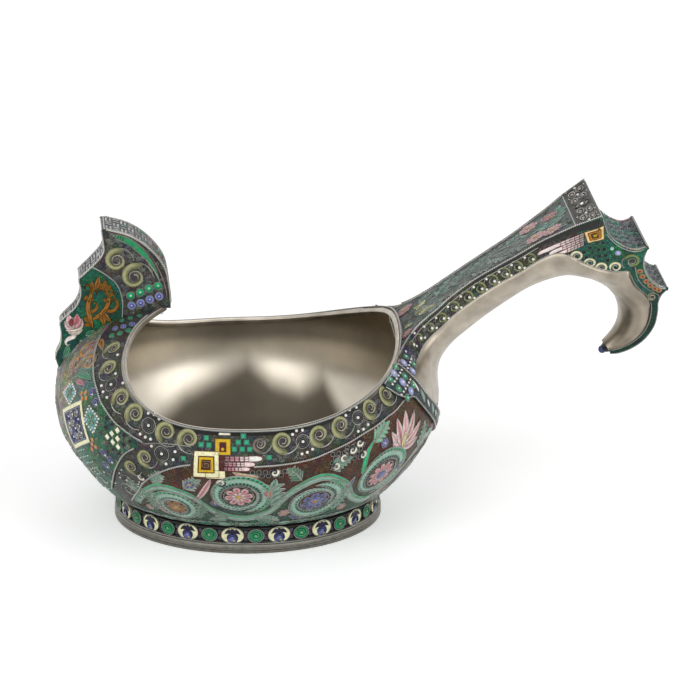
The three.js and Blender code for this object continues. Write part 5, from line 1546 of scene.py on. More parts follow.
def dress_foot_band():
    c = Craft(RING)
    middle = (FLANGE_HEIGHT + BAND_TOP) / 2 + 0.1
    up = c.raised(0.5)
    for k in range(18):
        cream = (-99.6 + 20 * k, middle)
        up.cell_at(cream, circle(4.25, 26, 0.73), CREAM * 0.95, CREAM, rise=0.1)
        up.wire_at(cream, circle(4.3, 28, 0.74), 0.17, closed=True)
        # a small palm: a lilac bulb with dark arcs under two drooping leaves and a knob
        over = up.raised(0.16)
        over.cell_at(cream, circle(2.25, 16, 0.92) + [0, -0.95], VIOLET_DARK, LILAC * 0.9, rise=0.05)
        for size in (1.75, 1.1):
            arc = circle(size, 16, 0.92)[np.arange(-1, 9)] + [0, -1.15]
            over.raised(0.06).wire_at(cream, arc, 0.2, high=INK)
        over.raised(0.08).dot(c.here(cream, [(0.55, -2.0)])[0], 0.5, linear("#b5ae62"), 6)
        palm = over.raised(0.1)
        for side in (-1, 1):
            root, tip = c.here(cream, [(-side * 0.3, 0.75), (side * 3.1, 0.55)])
            palm.leaf(root, tip, 1.7, side * 0.95, VIOLET_DARK, INK, wire=0, count=9)
        palm.cell_at(cream, circle(0.7, 8) + [0, 2.0], INK, VIOLET_DARK, rise=0.05)
        green = (-89.6 + 20 * k, middle - 0.1)
        up.cell_at(green, circle(3.05, 20, 0.82), EMERALD_DARK, EMERALD, rise=0.14)
        up.wire_at(green, circle(3.1, 24, 0.82), 0.16, closed=True)
        up.raised(0.12).wire_at(green, coil(2.1, 1.4, 150, -1, core=0.6) * [1, 0.8], 0.17,
                                high=EMERALD_DARK * 0.6)
        up.raised(0.14).wire_at(green, coil(2.6, 1.0, 200, -1, core=1.4) * [1, 0.8], 0.11,
                                high=linear("#a9cfa0"))
        up.raised(0.16).dot(green, 0.42, linear("#c9a394"), 6)
        for side in (-1, 1):
            spot = (green[0] + side * 4.5, middle - 0.3)
            c.cell_at(spot, circle(1.0, 10, 2.2), VIOLET_DARK, MAROON * 0.5, rise=0.05)
            c.curl((spot[0], middle - 1.4), 0.7, 90, side)
            c.curl((spot[0], middle + 1.2), 0.7, 270, -side)
    finish_craft("foot_band", c, "black_enamel", mirrored=False)
    # milled wires at the flange's upper edge and round its foot
    edge = Pile()
    for inset, z, thick in (
        (0.85, FLANGE_HEIGHT + 0.02, 0.34), (0.35, FLANGE_HEIGHT - 0.6, 0.26), (0.3, 1.55, 0.2),
    ):
        a = np.linspace(0, 2 * math.pi, 541)[:-1]
        out = np.stack([np.cos(a), np.sin(a), 0 * a], axis=1)
        tones = {"high": linear("#bab8b0"), "low": INK_LOW}
        path = out * (FOOT_OUT - inset) + [0, 0, z]
        add_rope(edge, path, out, thick, 1.2, closed=True, **tones)
    piece("foot_flange_milling", edge, WIRE_SILVER, "wire_silver")


def dress_prow():
    c = Craft(CHEEK)

    def slate(a, b):
        z = 84 + 32 * a
        left = max(np.interp(z, PROW_DIVIDER[::-1, 1], PROW_DIVIDER[::-1, 0]), -55) + 1
        right = np.interp(-z, -prow_fine[:, 0], prow_fine[:, 3]) - 1.6
        return (left + (right - left) * b, z)

    scatter(c, 130, 21, slate, tint=linear("#a4a89c"))
    bar = through([(-51.9, 116.3), (-46.9, 114.2), (-43.5, 111.9), (-40.5, 108.9), (-37.7, 105.4),
                   (-35.7, 101.8), (-34.4, 98.6), (-33.9, 96.9)], 5)
    c.stem(bar, 2.5, EMERALD * 0.55, linear("#17a063") * 0.85, wire=0.17)
    for k in range(4):
        c.raised(0.1).cell(c.here(bar[1 + k], rectangle(0.22, 1.5), -24), INK, rise=0, base=0.08)
    rosy = through([(-53.6, 117.4), (-47.0, 115.7), (-42.6, 113.2), (-39.4, 110.0), (-36.6, 106.3),
                    (-34.4, 102.2), (-32.9, 98.6), (-31.6, 94.0), (-31.2, 90.4)], 5)
    c.wire(rosy, 0.22, lift=0.15, high=linear("#b39a92"))
    c.shell((-50.4, 105.6), 5.1, 0, 1)
    c.shell((-43.6, 98.9), 5.6, 0, 1)
    for k, (spot, r) in enumerate((((-51.0, 113.0), 1.7), ((-46.0, 110.4), 1.3), ((-41.2, 106.2), 1.5),
                                   ((-50.0, 98.6), 1.5), ((-47.2, 94.4), 1.3), ((-37.0, 99.0), 1.2),
                                   ((-54.3, 109.4), 1.1))):
        c.curl(spot, r, 60 * k, 1, 0.15, linear("#9a9c9e"), 1.9)
    # green beads: the pale dot in the middle of each is a painted highlight
    for spot in ((-45.3, 91.3), (-41.6, 92.7), (-38.2, 94.3), (-34.7, 95.4)):
        c.oval(spot, 3.2, 3.2, EMERALD_DARK, EMERALD * 1.25, rise=0.35)
        c.raised(0.3).dot(c.here(spot, [(0.1, 0.1)])[0], 0.42, linear("#cfeedd"), 6)
    for spot in ((-44.9, 87.2), (-41.4, 88.3), (-37.9, 89.8), (-34.3, 91.1)):
        c.eye(spot, 1.6, LILAC, VIOLET_DARK, LILAC_LIGHT)
    c.rope(through([(-60.0, 103.2), (-57.2, 101.7), (-54.0, 99.5), (-50.9, 96.6), (-49.1, 92.8),
                    (-48.3, 88.4), (-48.5, 82.8), (-48.9, 79.0)], 5))
    # ochre scroll on the green field: a forked stem with curled ends and lobed leaves
    for line, wide in (
        ([(-60.0, 77.6), (-61.2, 82.4), (-61.8, 87.0), (-60.6, 91.4), (-60.4, 94.6), (-62.0, 95.9),
          (-63.1, 94.4), (-62.2, 93.2)], 2.1),
        ([(-60.4, 81.0), (-56.8, 83.6), (-54.2, 87.4), (-53.8, 91.4), (-55.8, 93.8), (-58.2, 93.0),
          (-58.6, 91.2)], 1.9),
        ([(-55.4, 85.2), (-52.4, 84.8), (-50.4, 86.8), (-50.8, 89.4), (-52.4, 89.6), (-52.5, 88.2)], 1.5),
        ([(-61.4, 84.0), (-58.6, 85.6), (-58.4, 88.0), (-60.0, 88.4)], 1.5),
        ([(-60.8, 92.0), (-58.0, 95.4), (-54.8, 95.6), (-52.2, 92.6), (-51.2, 90.0)], 1.6),
    ):
        c.stem(through(line, 6), wide, OCHRE_DARK * 0.6, OCHRE, wire=0.13, high=linear("#8a6428"))
        c.wire(through(line, 6)[2:-4], 0.1, lift=0.15, high=OCHRE_DARK, low=OCHRE_DARK * 0.5)
    for root, tip, wide, bend in (
        ((-58.6, 93.6), (-57.2, 99.6), 2.0, 0.0), ((-57.2, 93.8), (-54.6, 98.0), 1.8, -0.4),
        ((-59.4, 93.0), (-60.0, 97.8), 1.6, 0.4), ((-55.2, 93.0), (-52.4, 95.6), 1.6, 0.3),
        ((-54.2, 90.4), (-51.4, 92.6), 1.4, 0.2), ((-57.4, 83.4), (-55.6, 78.6), 2.0, 0.5),
        ((-56.0, 84.6), (-52.8, 80.4), 1.9, -0.4), ((-60.8, 80.4), (-63.6, 82.4), 1.6, 0.3),
        ((-60.4, 79.0), (-63.8, 78.6), 1.5, -0.3), ((-61.6, 88.6), (-59.2, 90.2), 1.2, 0.2),
        ((-61.9, 91.5), (-63.6, 89.2), 1.2, 0.2), ((-53.6, 88.6), (-56.2, 90.2), 1.2, 0.2),
    ):
        c.leaf(root, tip, wide, bend, OCHRE, OCHRE_DARK, wire=0.12, high=linear("#7a5a24"))
    # rose bud: rosy petals that overlap, a pale calyx under them and a curled white stalk
    for root, tip, wide, bend, edge, heart in (
        ((-67.0, 77.6), (-70.9, 80.6), 3.0, 0.9, PINK_PALE, PINK),
        ((-67.2, 77.4), (-66.0, 83.6), 3.4, -0.5, PINK, ROSE),
        ((-67.4, 77.0), (-69.4, 83.6), 3.2, 0.5, PINK_PALE, PINK),
        ((-66.6, 77.4), (-64.2, 81.6), 2.6, -0.6, PINK_PALE, ROSE),
    ):
        c.leaf(root, tip, wide, bend, edge, heart, wire=0.12)
    over = c.raised(0.1)
    over.leaf((-68.4, 78.2), (-67.6, 82.2), 2.2, 0.3, ROSE, MAROON, wire=0.1)
    over.leaf((-70.6, 76.8), (-63.6, 79.0), 2.0, -1.7, WHITE, linear("#e8c9a8"), wire=0.12)
    over.leaf((-69.6, 75.6), (-63.8, 77.2), 1.5, -1.0, linear("#d9a888"), WHITE, wire=0.12)
    stalk = [(-67.0, 75.6), (-67.4, 74.0), (-69.2, 73.2), (-70.6, 71.8), (-70.2, 70.2), (-69.0, 70.6)]
    c.stem(through(stalk, 5), 1.7, PINK_PALE, WHITE, 0.14)
    for root, tip in (((-69.6, 70.2), (-71.8, 64.6)), ((-65.0, 72.5), (-62.2, 68.8)),
                      ((-62.8, 74.6), (-58.8, 76.4))):
        c.leaf(root, tip, 1.8, 0.3, EMERALD, EMERALD_DARK, wire=0.14)
    finish_craft("prow_cheek", c, "slate_enamel")
    # plain wires on the cheek's outline: the crest edge, and the toothed edge
    for name, columns, stands in (
        ("prow_crest_rope", [3, 4, 0], ["prow_SIDE_crest_wire"]), ("prow_tooth_rope", [1, 2, 0], []),
    ):
        pile = Pile()
        line = prow_fine[::-1][:, columns]
        line = line[line[:, 2] > (CREST_LOW if stands else TEETH_LOW)]
        lean = 0.1 if stands else -0.25
        path = np.stack([line[:, 0] + lean, -(line[:, 1] + 0.05), line[:, 2]], axis=1)
        tones = {"high": linear("#cfccc4"), "low": linear("#55554f")}
        add_rope(pile, path, np.array([0.0, -1.0, 0.0]), 0.42, 1.9, **tones)
        pair(name, pile, WIRE_SILVER, "wire_silver", stands)


class Strip(Surface):
    """The outside of a sheet across the vessel: mm along its edge line, and Y."""

    def __init__(self, line, hand):
        self.line, self.hand = line, hand
        self.way = way_along(line[:, :2])

    def flat(self, u, v):
        x, z = (np.interp(u, self.way, self.line[:, k]) for k in (0, 1))
        return np.stack([x, np.asarray(v, float), z], axis=-1)

    def half(self, u):
        return float(np.interp(u, self.way, self.line[:, 2]))

    def border(self, craft, inset=0.7, radius=0.28):
        """Ropes along both long edges and across the ends."""
        length = self.way[-1]
        for side in (-1, 1):
            edge = [(u, side * (self.half(u) - inset)) for u in np.linspace(0.3, length - 0.3, 60)]
            craft.rope(edge, radius, 0.12, 1.4)
        for u in (0.5, length - 0.5):
            half = self.half(u) - inset
            craft.rope([(u, -half), (u, half)], radius, 0.12, 1.4)


def weave(name, strip, tint, check=2.9, green=0.0):
    """A raised basket weave: checks of short bars, lying along and across by turns."""
    c = Craft(strip)
    length, wide_check, bars = strip.way[-1], 4.6, 2
    rows = max(1, int((length - 1.6) / check))
    step = (length - 1.6) / rows
    rng = np.random.default_rng(3)
    for i in range(rows):
        u = 0.8 + (i + 0.5) * step
        half = strip.half(u) - 1.3
        columns = max(1, int(2 * half / wide_check))
        wide = 2 * half / columns
        for j in range(columns):
            v = -half + (j + 0.5) * wide
            for k in range(bars):
                off = (k - (bars - 1) / 2) / bars
                if (i + j) % 2:
                    shape = rectangle(step * 0.88, wide / bars * 0.56) + [0, off * wide]
                else:
                    shape = rectangle(step / bars * 0.56, wide * 0.88) + [off * step, 0]
                lit = tint * (0.7 + 0.5 * rng.random())
                if rng.random() < green * i / rows * 1.6:
                    lit = linear("#4f7f6c" if k % 2 else "#8a6a66") * (0.7 + 0.6 * rng.random())
                c.cell(np.array([u, v]) + shape, lit * 0.3, lit, rise=0.2, base=0.1)
    strip.border(c, 0.75)
    piece(name + "_weave", c.cells, DARK_SILVER, "brocade_silver")
    piece(name + "_frame", c.wires, WIRE_SILVER, "wire_silver")


def brocade(name, strip, green=False):
    """Rows of wire ovals and curls with small grains, like brocade."""
    c = Craft(strip)
    length, across, along, tint = strip.way[-1], 6.4, 2.9, linear("#7b7f82")
    rows = max(2, int((length - 1.6) / along))
    step = (length - 1.6) / rows
    for i in range(rows):
        u = 0.8 + (i + 0.5) * step
        half = strip.half(u) - 1.4
        columns = max(1, int(2 * half / across))
        wide = 2 * half / columns
        for j in range(columns - (i % 2)):
            v = -half + (j + 0.5 + 0.5 * (i % 2)) * wide
            spot, glow = (u, v), CURL_GREEN if (i + j) % 3 == 0 and green else tint
            c.wire_at(spot, circle(step * 0.46, 14, wide / step * 0.95), 0.26, closed=True,
                      high=glow * 2.0)
            c.cell_at(spot, circle(step * 0.3, 12, wide / step * 0.95), INK, INK * 1.5, rise=0.05)
            c.wire_at(spot, coil(0.95, 1.2, 90 + 180 * (j % 2), 1) * [1, 2], 0.16, high=glow * 1.8,
                      lift=0.2)
    strip.border(c)
    piece(name + "_grains", c.cells, DARK_SILVER, "brocade_silver")
    piece(name + "_wirework", c.wires, WIRE_SILVER, "wire_silver")


def filigree_panel(strip):
    """The handle's end panel: dark filigree scrolls round a middle rosette."""
    c = Craft(strip)
    length = strip.way[-1]
    middle = length / 2 + 0.2
    dull, bright = linear("#7c7770"), linear("#c9c6bd")
    for radius in (3.4, 2.6, 1.5):
        c.wire_at((middle, 0), circle(radius, 20), 0.22, closed=True, high=dull)
    for k in range(6):
        a = math.radians(60 * k)
        spot = c.here((middle, 0), [(2.05 * math.cos(a), 2.05 * math.sin(a))])[0]
        c.curl(spot, 0.95, 60 * k, 1, 0.16, bright)
    c.dot((middle, 0), 0.85, linear("#f0efe8"))
    for side in (-1, 1):
        for k in range(2):
            v = side * (8.6 + 9.8 * k)
            for up in (-1, 1):
                spot = (middle + up * 1.9, v + side * up * 1.2)
                c.cell_at(spot, circle(1.8, 16, 2.3), INK, INK * 2, rise=0.02, base=0.03)
                for radius, turns in ((1.9, 1.7), (1.5, 1.4)):
                    scroll = coil(radius, turns, 90 * up + 40 * side, up * side) * [1, 2.3]
                    c.wire_at(spot, scroll, 0.24, lift=0.15, high=bright if radius > 1.6 else dull)
                c.dot(spot, 0.5, bright, 6)
                c.dot((middle + up * 3.9, v + side * 4.6), 0.45, bright, 6)
            c.dot((middle, v + side * 4.8), 0.7, bright)
            c.dot((middle, v), 0.6, dull, 10, 0.5)
    half = strip.half(length / 2)
    for inset in (0.55, 1.3):
        low, high = strip.half(inset) - inset - 0.3, strip.half(length - inset) - inset - 0.3
        frame_line = [(inset, -low), (inset, low), (length - inset, high), (length - inset, -high)]
        c.wire(frame_line, 0.28, closed=True, turn_mm=1.4, high=dull)
    piece("handle_end_panel_grains", c.cells, DARK_SILVER, "brocade_silver")
    piece("handle_end_panel_filigree", c.wires, WIRE_SILVER, "wire_silver")


# X and Z of the fringe's upper corner by the square, its run to the longest finger's tip,
# and its depth
FRINGE_FRAME = ((129.0, 117.5), (-17.4, -9.7), (0.34, -5.8))


def dress_handle_side():
    c = Craft(SIDE)

    def at(points):
        return np.array([(float(station_way(t)), v) for t, v in points])

    scatter(c, 150, 31, lambda a, b: (float(station_way(2.2 + 10.5 * a)), 0.06 + 0.66 * b), 0.4, 0.4)
    scatter(c, 60, 33, lambda a, b: (float(station_way(14 + 8 * a)), 0.06 + 0.6 * b), 0.4, 0.4,
            CURL_GREEN)
    spirals = [(2.9, 0.66), (3.9, 0.5), (5.1, 0.42), (6.28, 0.38), (7.15, 0.38), (7.68, 0.38), (8.18, 0.38),
               (8.7, 0.38), (9.25, 0.38), (9.85, 0.38), (10.6, 0.36)]
    places = at(spirals)
    for k, spot in enumerate(places):
        r = (1.6, 1.9, 2.2, 2.5, 2.7, 2.8, 2.8, 2.8, 2.7, 2.6, 2.4)[k]
        c.shell(spot, r * 0.95, 160, -1, 1.7, linear("#8f9468"), linear("#5c6140"), linear("#23251a"), 0.18,
                linear("#b9ba98"), linear("#b9ba98"), linear("#1d1f1b"))
        c.raised(0.1).dot(c.here(spot, [(0.5, -0.5)])[0], 0.6)
        if k + 1 < len(places):
            between = (spot[0] + places[k + 1][0]) / 2
            tall = 1.0 if k > 2 else 0.85
            c.dot((between + 0.2, spot[1] + 0.31 * tall), 0.52)
            c.dot((between - 0.2, spot[1] - 0.29 * tall), 0.52)
    # violet knuckle at the root, with a small coil, dots and a scalloped wire
    knuckle = at([(1.1, 0.97), (1.9, 0.97), (2.75, 0.5), (3.0, 0.1), (2.2, -0.05), (1.2, 0.3)])
    c.cell(knuckle, VIOLET_DARK * 0.7, VIOLET_DARK, rise=0.03, base=0.03)
    c.curl(at([(2.5, 0.28)])[0], 1.6, 0, 1, 0.2, WIRE_HIGH, 1.8, 0.1)
    c.dot(at([(1.6, 0.8)])[0], 0.55)
    c.wire(at([(3.25, 0.25), (3.3, 0.02), (3.0, -0.08), (2.4, -0.08), (1.8, 0.0)]), 0.26, lift=0.15)
    for (first, last), v, radius in (((3.2, 12.6), 0.02, 0.22), ((2.8, 11.0), 0.8, 0.2),
                                     ((12.8, 21.4), 0.02, 0.22), ((17.0, 20.7), 0.96, 0.24),
                                     ((21.4, 26.7), 0.96, 0.24), ((27.5, 34.6), 0.96, 0.24),
                                     ((28.8, 34.8), 0.1, 0.2)):
        c.rope([(u, v) for u in np.linspace(*at([(first, 0), (last, 0)])[:, 0], 80)], radius, 0.12, 1.6)
    # dark slate strip under the top edge
    strip = np.linspace(*at([(8.0, 0), (16.0, 0)])[:, 0], 40)
    c.ribbon([(u, 0.99) for u in strip], [(u, 0.8) for u in strip], SLATE * 0.5, SLATE * 0.6, rise=0.02)
    # the amber square and the fringe on the widened head are laid out in X and Z
    def head(spots):
        spots = np.asarray(spots, float)
        u, v = np.full(spots.shape[:-1], float(station_way(14.6))), np.full(spots.shape[:-1], 0.6)
        found = SIDE.onto(spots[..., 0], spots[..., 1], u, v, 24)
        return np.stack([found[..., 0], np.clip(found[..., 1], 0.02, 0.98)], axis=-1)

    amber = np.array([(129.03, 117.5), (130.6, 112.9), (136.84, 114.6), (136.2, 120.6)])
    for share, tint, base in ((1.0, linear("#f2cf94"), 0.14), (0.68, MAROON, 0.18), (0.62, AMBER, 0.22),
                              (0.4, OLIVE_DARK, 0.26), (0.2, YELLOW, 0.3)):
        c.patch(amber, tint, base, share, high=linear("#9a6a3c"), via=head)
    # pink fringe: checked cells by the square, pale fingers that point to the bowl
    corner, along, down = (np.array(p) for p in FRINGE_FRAME)

    def fringe(spots):
        spots = np.asarray(spots, float)
        return head(corner + spots[..., :1] * along + spots[..., 1:] * down)

    for row, (first, last) in enumerate(((0.5, 0.99), (0.46, 0.75), (0.36, 0.58))):
        top, low = row / 3 + 0.03, (row + 1) / 3 - 0.03
        bed = [(0, top - 0.05), (first, top - 0.05), (first, low + 0.05), (0, low + 0.05)]
        c.patch(bed, MAROON * 0.6, 0.05, wire=0, via=fringe)
        cuts = np.linspace(0.01, first, 6)
        for k, (a, b) in enumerate(zip(cuts, cuts[1:])):
            for start, end in ((top, (top + low) / 2 - 0.02), ((top + low) / 2 + 0.02, low)):
                check = [(a, start), (b - 0.012, start), (b - 0.012, end), (a, end)]
                c.patch(check, PINK_PALE * (0.45 + 0.1 * k), 0.14, wire=0, via=fringe)
        a, b, middle = first, last, (top + low) / 2
        finger = fringe([(a, top), (b - 0.06, top + 0.02), (b - 0.015, middle - 0.06), (b, middle + 0.04),
                         (b - 0.02, low - 0.03), (b - 0.07, low), (a, low)])
        c.cell(finger, PINK_PALE * 0.9, WHITE, rise=0.16)
        c.wire(finger, 0.12, high=linear("#9a4a52"))
    # green field with black lozenges, cream curls along its lower edge
    for spot in at([(14.6, 0.36), (15.5, 0.50), (16.55, 0.64), (14.1, 0.24), (15.0, 0.26), (15.95, 0.40),
                    (16.95, 0.54), (17.3, 0.42), (16.3, 0.28), (15.4, 0.16), (17.7, 0.32), (14.5, 0.14)]):
        c.tile(spot, 0, INK, INK, diamond(2.2, 2.5), high=linear("#6f9f8c"), wire=0.12, rise=0.03)
    for spot in at([(13.55, 0.08), (15.15, 0.05), (17.05, 0.05), (18.95, 0.2)]):
        c.cell_at(spot, circle(2.2, 16), INK, EMERALD_DARK * 0.5, rise=0.02)
        c.raised(0.06).stem(c.here(spot, coil(2.3, 1.6, 235, -1, 44, 0.55)), 1.0, CREAM * 0.85,
                            CREAM * 0.95, 0.12)
    c.shell(at([(20.43, 0.47)])[0], 3.5, -150, -1, 2.0, light=linear("#8d9c65"), middle=linear("#4f7a50"),
            dark=EMERALD_DARK * 0.5)
    c.oval(at([(18.6, 0.72)])[0], 2.4, 2.2, LILAC * 0.8, LILAC_LIGHT)
    c.dot(at([(17.9, 0.74)])[0], 0.8, TEAL_PALE)
    for spot in at([(23.15, 0.62), (23.95, 0.68), (24.6, 0.71), (25.2, 0.71), (25.85, 0.7), (26.6, 0.68)]):
        c.oval(spot, 2.2, 2.2, ORANGE * 0.45, ORANGE * 1.05, rise=0.14)
        c.raised(0.14).dot(spot, 0.45, MAROON, 6, 0.3)
    for shift in (0.02, 0.36):
        line = ((21.6, -0.02), (22.6, 0), (24.4, 0), (25.7, 0.04), (27.3, 0.05))
        c.wire(at([(station, shift + more) for station, more in line]), 0.26, lift=0.12)
    c.shell(at([(27.95, 0.3)])[0], 2.3, 60, 1, 2.0, light=linear("#9a9f80"), middle=linear("#6b6f58"))
    finish_craft("handle_side", c, "green_enamel")


def dress_handle_top():
    """Grey-green foliage on the top: a winding stem with sprays of leaves."""
    strip = Strip(handle_span(0, END_PANEL), 1.0)
    c = Craft(strip, shine=0.6)
    length = strip.way[-1]
    grey, pale, teal = linear("#33433f"), linear("#74988a"), linear("#4a9a84")

    def ground(a, b):
        u = 1.5 + (length - 3.0) * a
        return (u, (strip.half(u) - 1.8) * (2 * b - 1))

    scatter(c, 260, 11, ground, 0.6, 0.9, linear("#a09c94"))

    def winding(u):
        return strip.half(u) * 0.34 * math.sin(u / 6.5)

    c.stem([(u, winding(u)) for u in np.linspace(9, length - 3, 110)], 1.2, grey, pale, taper=False)
    for k, u in enumerate(np.arange(14.0, length - 6, 8.2)):
        half = strip.half(u) - 1.8
        for side in (-1, 1):
            root = (u, winding(u) + side * 0.5)
            tip = (min(u + 9.4, length - 1.4), side * half * 0.9)
            tone = ((grey, pale), (teal, grey), (pale, grey), (teal, teal * 0.6))[(2 * k + (side > 0)) % 4]
            c.frond(root, tip, -side * 0.6, *tone, lobes=3, wide=0.75)
            c.curl((u + 0.6, side * half * 0.78), 1.2, 90 * k, side, 0.15, linear("#9aa8a0"))
    # blossoms: pink ones at the root and towards the end panel, cream outlines near the root
    over = c.raised(0.12)
    over.shine = 1.0
    for spot, r, petals, edge, heart in (
        ((7.4, 11.0), 3.8, 6, PINK * 0.75, ROSE * 0.5), ((5.2, -16.4), 3.0, 6, PINK * 0.6, ROSE * 0.5),
        ((67.5, -7.2), 4.4, 7, PINK_PALE * 0.9, ROSE), ((74.5, -10.2), 4.0, 7, PINK_PALE * 0.9, ROSE),
        ((66.0, 8.6), 4.2, 7, PINK_PALE * 0.9, ROSE), ((75.5, 7.0), 3.6, 6, PINK * 0.7, ROSE * 0.7),
    ):
        over.cell_at(spot, circle(r * 1.1, 20), MAROON * 0.5, rise=0.02)
        over.raised(0.06).flower(spot, r, petals, edge, heart, YELLOW * 0.6, wire=0.1)
    for root, tip in (((11.5, -2.6), (15.8, -5.8)), ((13.0, -7.4), (17.6, -4.4)),
                      ((14.6, -6.0), (20.0, -7.6)), ((11.5, 4.0), (16.5, 2.4)),
                      ((12.5, 0.4), (17.0, 5.4)), ((5.6, -10.0), (9.2, -10.6))):
        over.leaf(root, tip, 2.4, 0.5, linear("#4a4c42"), linear("#38392f"), 0.22, high=CREAM * 0.9)
    strip.border(c, 0.8, 0.22)
    finish_craft("handle_top", c, "slate_enamel", mirrored=False)


class CollarFace(Bowl):
    """The raised strap's outer face, in the bowl's own degrees and mm."""

    def flat(self, u, v):
        return super().flat(u, v) + (GAP + COLLAR_THICK) * self.normal(u, v)


def dress_collar():
    c = Craft(CollarFace())

    def ground(a, b):
        low, high = (border_at(COLLAR_SHARES[:, [0, j]], 45 * a) for j in (1, 2))
        return (-45 * a, low + 0.6 + (high - low - 1.2) * b)

    scatter(c, 90, 17, ground, 0.4, 0.3)
    for spot in ((-39.0, 68.2), (-37.5, 63.8), (-35.4, 59.6), (-30.9, 70.0), (-29.4, 65.7)):
        c.oval(spot, 3.5, 3.6, LILAC * 0.8, LILAC_LIGHT * 0.85, 28, 0.35)
        c.raised(0.3).dot(spot, 0.5, WHITE, 6, 0.4)
    for spot in ((-36.3, 70.2), (-42.3, 66.6), (-35.0, 65.4), (-40.6, 62.3), (-33.2, 61.1), (-38.0, 57.9),
                 (-27.3, 71.6), (-26.3, 67.5)):
        c.oval(spot, 2.9, 3.2, EMERALD_DARK, linear("#4fa880"), 28, 0.3)
        c.raised(0.3).dot(spot, 0.42, linear("#d8f0e0"), 6, 0.4)
    for line in (((-34.6, 68.1), (-42.4, 64.5)), ((-33.3, 63.4), (-40.5, 59.8)),
                 ((-25.6, 69.6), (-31.0, 67.5))):
        c.dots_along(line, 2.0, 0.5)
    for k, degrees in enumerate((31.9, 29.3, 26.1, 22.8, 19.4, 16.0, 12.6, 9.2, 5.8, 2.2)):
        low, high = (border_at(COLLAR_SHARES[:, [0, j]], degrees) for j in (1, 2))
        wide, tint = ((1.2, WHITE), (2.1, TEAL_PALE * 0.6))[k % 2]
        tall = (high - low) * (0.5, 0.72)[k % 2]
        c.oval((-degrees, (low + high) / 2), wide, tall, tint * 0.6, tint, 20, 0.3)
    finish_craft("collar", c, "green_enamel")


def dress_hook_tip():
    """A dark cap that gathers the end of the hook into its blue bead."""
    low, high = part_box("hook_tip_bead")
    middle = (np.array([low.x + high.x, 0, low.z + high.z]) / 2 - FOOT_AXIS) / MM
    radius = (high.x - low.x) / 2 / MM
    end = handle_fine[-1]
    start = np.array([(end[0] + end[6]) / 2, 0, (end[1] + end[7]) / 2])
    toward = unit(middle - start)
    up = np.array([-toward[2], 0, toward[0]])
    long = float(np.linalg.norm(middle - start))
    tall, wide = np.linalg.norm([end[0] - end[6], end[1] - end[7]]) / 2, end[2]
    rings = []
    a = np.linspace(0, 2 * math.pi, 24, endpoint=False)[:, None]
    for t in np.linspace(0, 1, 9):
        grow = (1 - t) ** 0.7
        h, w = (radius * 0.8 + (size * 0.96 - radius * 0.8) * grow for size in (tall, wide))
        rings.append(start + toward * long * t + np.cos(a) * h * up + np.sin(a) * w * np.array([0, 1, 0]))
    cap = Pile()
    cap.add(*tube(np.array(rings), [start, middle]), linear("#3a3b40"))
    piece("hook_tip_cap", cap, DARK_SILVER, "blue_enamel")
    turn = np.linspace(0, math.pi, 13)[1:-1]
    rings = turned(np.stack([radius * np.sin(turn), radius * np.cos(turn)], axis=1), len(a)).swapaxes(0, 1)
    ball = Pile()
    ball.add(*tube(rings + middle, [middle + [0, 0, radius], middle - [0, 0, radius]]), linear("#3c4a78"))
    piece("hook_tip_blue_bead", ball, ENAMEL, "blue_enamel", ["hook_tip_bead"])


make_bowl()
make_ground()
make_lip()
make_ropes()
make_foot()
make_prow()
make_handle()
make_collar()
dress_rim_band()
dress_left_panel()
dress_lower_panel()
dress_foot_wave()
dress_foot_band()
dress_prow()
crest = prow_crest_line()
weave("prow_crest", Strip(crest[crest[:, 1] > CREST_LOW - 1.1], 1.0), linear("#9c9d9c"), green=0.9)
for k, step in enumerate(PROW_STEP_NAMES):
    weave(step, Strip(prow_step(k), -1.0), linear("#c9cacc"), 2.6)
brocade("handle_upper_step", Strip(handle_span(TOP_TOOTH, SECOND_TOOTH), 1.0), green=True)
brocade("handle_lower_step", Strip(handle_span(SECOND_TOOTH, THIRD_TOOTH), 1.0))
filigree_panel(Strip(handle_span(END_PANEL, TOP_TOOTH), 1.0))
dress_handle_side()
dress_handle_top()
dress_hook_tip()
dress_collar()


# stage, light, camera
FLOOR_GLOW = 0.36  # lifts the paper to white for the camera and in reflections
AMBIENT = 0.5
MIDDLE = (0.0, 0.0, 0.06)  # the lamps' aim, in metres
FOCAL_PIXELS, PHOTO_PIXELS, SENSOR = 4600, 700, 36.0
CAMERA_TURN, CAMERA_DIP, CAMERA_PLACE = 4.3, 17.0, (-88.7, -1717.4, 591.5)


def rays_of(tree, *kinds):
    """1 for rays of any of these kinds, such as the camera's own."""
    path = node(tree, "LightPath")
    seen = path.outputs[kinds[0]]
    for kind in kinds[1:]:
        seen = node(tree, "Math", {"operation": "MAXIMUM"}, in_0=seen, in_1=path.outputs[kind])
    return seen


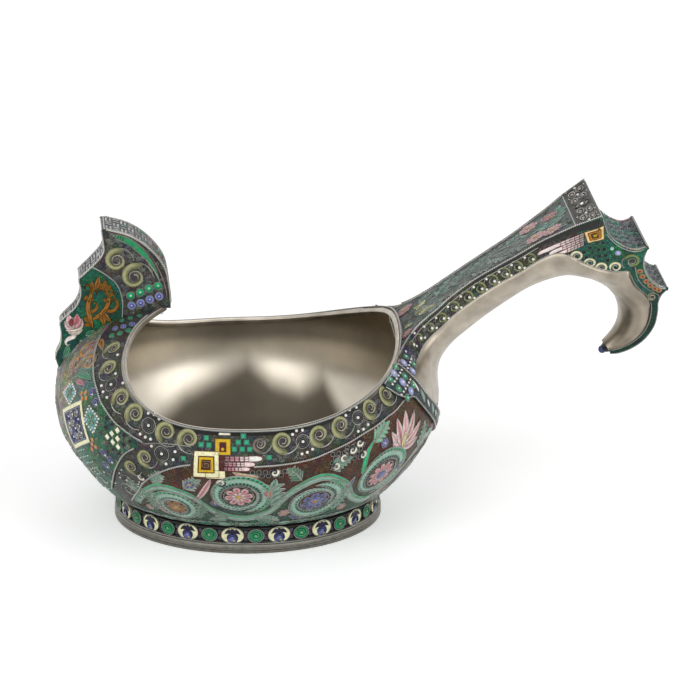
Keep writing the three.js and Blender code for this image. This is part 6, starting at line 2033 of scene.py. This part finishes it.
def make_stage():
    floor_mesh = bpy.data.meshes.new("floor")
    reach = 12.0
    floor_mesh.from_pydata(
        [(-reach, -reach, 0), (reach, -reach, 0), (reach, reach, 0), (-reach, reach, 0)], [], [(0, 1, 2, 3)]
    )
    floor = bpy.data.objects.new("floor", floor_mesh)
    bpy.context.scene.collection.objects.link(floor)
    # matt white paper: takes the soft shadow, and shows white where it is fully lit
    matt = {"Base Color": (0.9, 0.9, 0.9, 1), "Roughness": 0.9, "Specular IOR Level": 0.0}
    material, tree, shader = surface_material("white_paper", matt)
    seen = rays_of(tree, "Is Camera Ray", "Is Glossy Ray")
    lift = node(tree, "Math", {"operation": "MULTIPLY", 1: FLOOR_GLOW}, in_0=seen)
    glow = node(tree, "Emission", {"Color": (1, 1, 1, 1)}, Strength=lift)
    both = node(tree, "AddShader", in_0=shader, in_1=glow)
    link(tree, tree.nodes["Material Output"], Surface=both)
    floor_mesh.materials.append(material)


def make_world():
    world = bpy.data.worlds.new("studio")
    bpy.context.scene.world = world
    world.use_nodes = True
    tree = world.node_tree
    back = tree.nodes["Background"]
    back.inputs["Color"].default_value = (1, 1, 1, 1)
    seen = rays_of(tree, "Is Camera Ray", "Is Glossy Ray", "Is Transmission Ray")
    link(tree, back, Strength=node(tree, "MapRange", {"To Min": AMBIENT, "To Max": 1.0}, Value=seen))


def make_lamp(name, place, aim, size, share):
    """A soft square lamp. `share` is the part of a colour's written level it gives."""
    lamp = bpy.data.lights.new(name, "AREA")
    lamp.shape = "SQUARE"
    lamp.size = size
    place, aim = Vector(place), Vector(aim)
    lamp.energy = share * math.pi**2 * (place - aim).length ** 2
    made = bpy.data.objects.new(name, lamp)
    made.location = place
    made.rotation_euler = (aim - place).to_track_quat("-Z", "Y").to_euler()
    bpy.context.scene.collection.objects.link(made)


def make_camera():
    camera = bpy.data.cameras.new("camera")
    made = bpy.data.objects.new("camera", camera)
    bpy.context.scene.collection.objects.link(made)
    camera.sensor_width = SENSOR
    camera.lens = FOCAL_PIXELS / PHOTO_PIXELS * SENSOR
    turn, dip = math.radians(CAMERA_TURN), math.radians(CAMERA_DIP)
    ahead = Vector((math.sin(turn) * math.cos(dip), math.cos(turn) * math.cos(dip), -math.sin(dip)))
    made.location = Vector(laid(CAMERA_PLACE))
    made.rotation_euler = ahead.to_track_quat("-Z", "Y").to_euler()
    camera.clip_start, camera.clip_end = 0.05, 60.0
    bpy.context.scene.camera = made


make_stage()
make_world()
make_lamp("left_box", (-0.75, -1.0, 0.95), MIDDLE, 1.1, 0.36)
make_lamp("right_box", (0.95, -1.0, 0.8), MIDDLE, 1.1, 0.27)
make_lamp("back_box", (0.3, 1.2, 0.9), MIDDLE, 0.9, 0.14)
make_camera()
bpy.context.scene.view_settings.view_transform = "Standard"
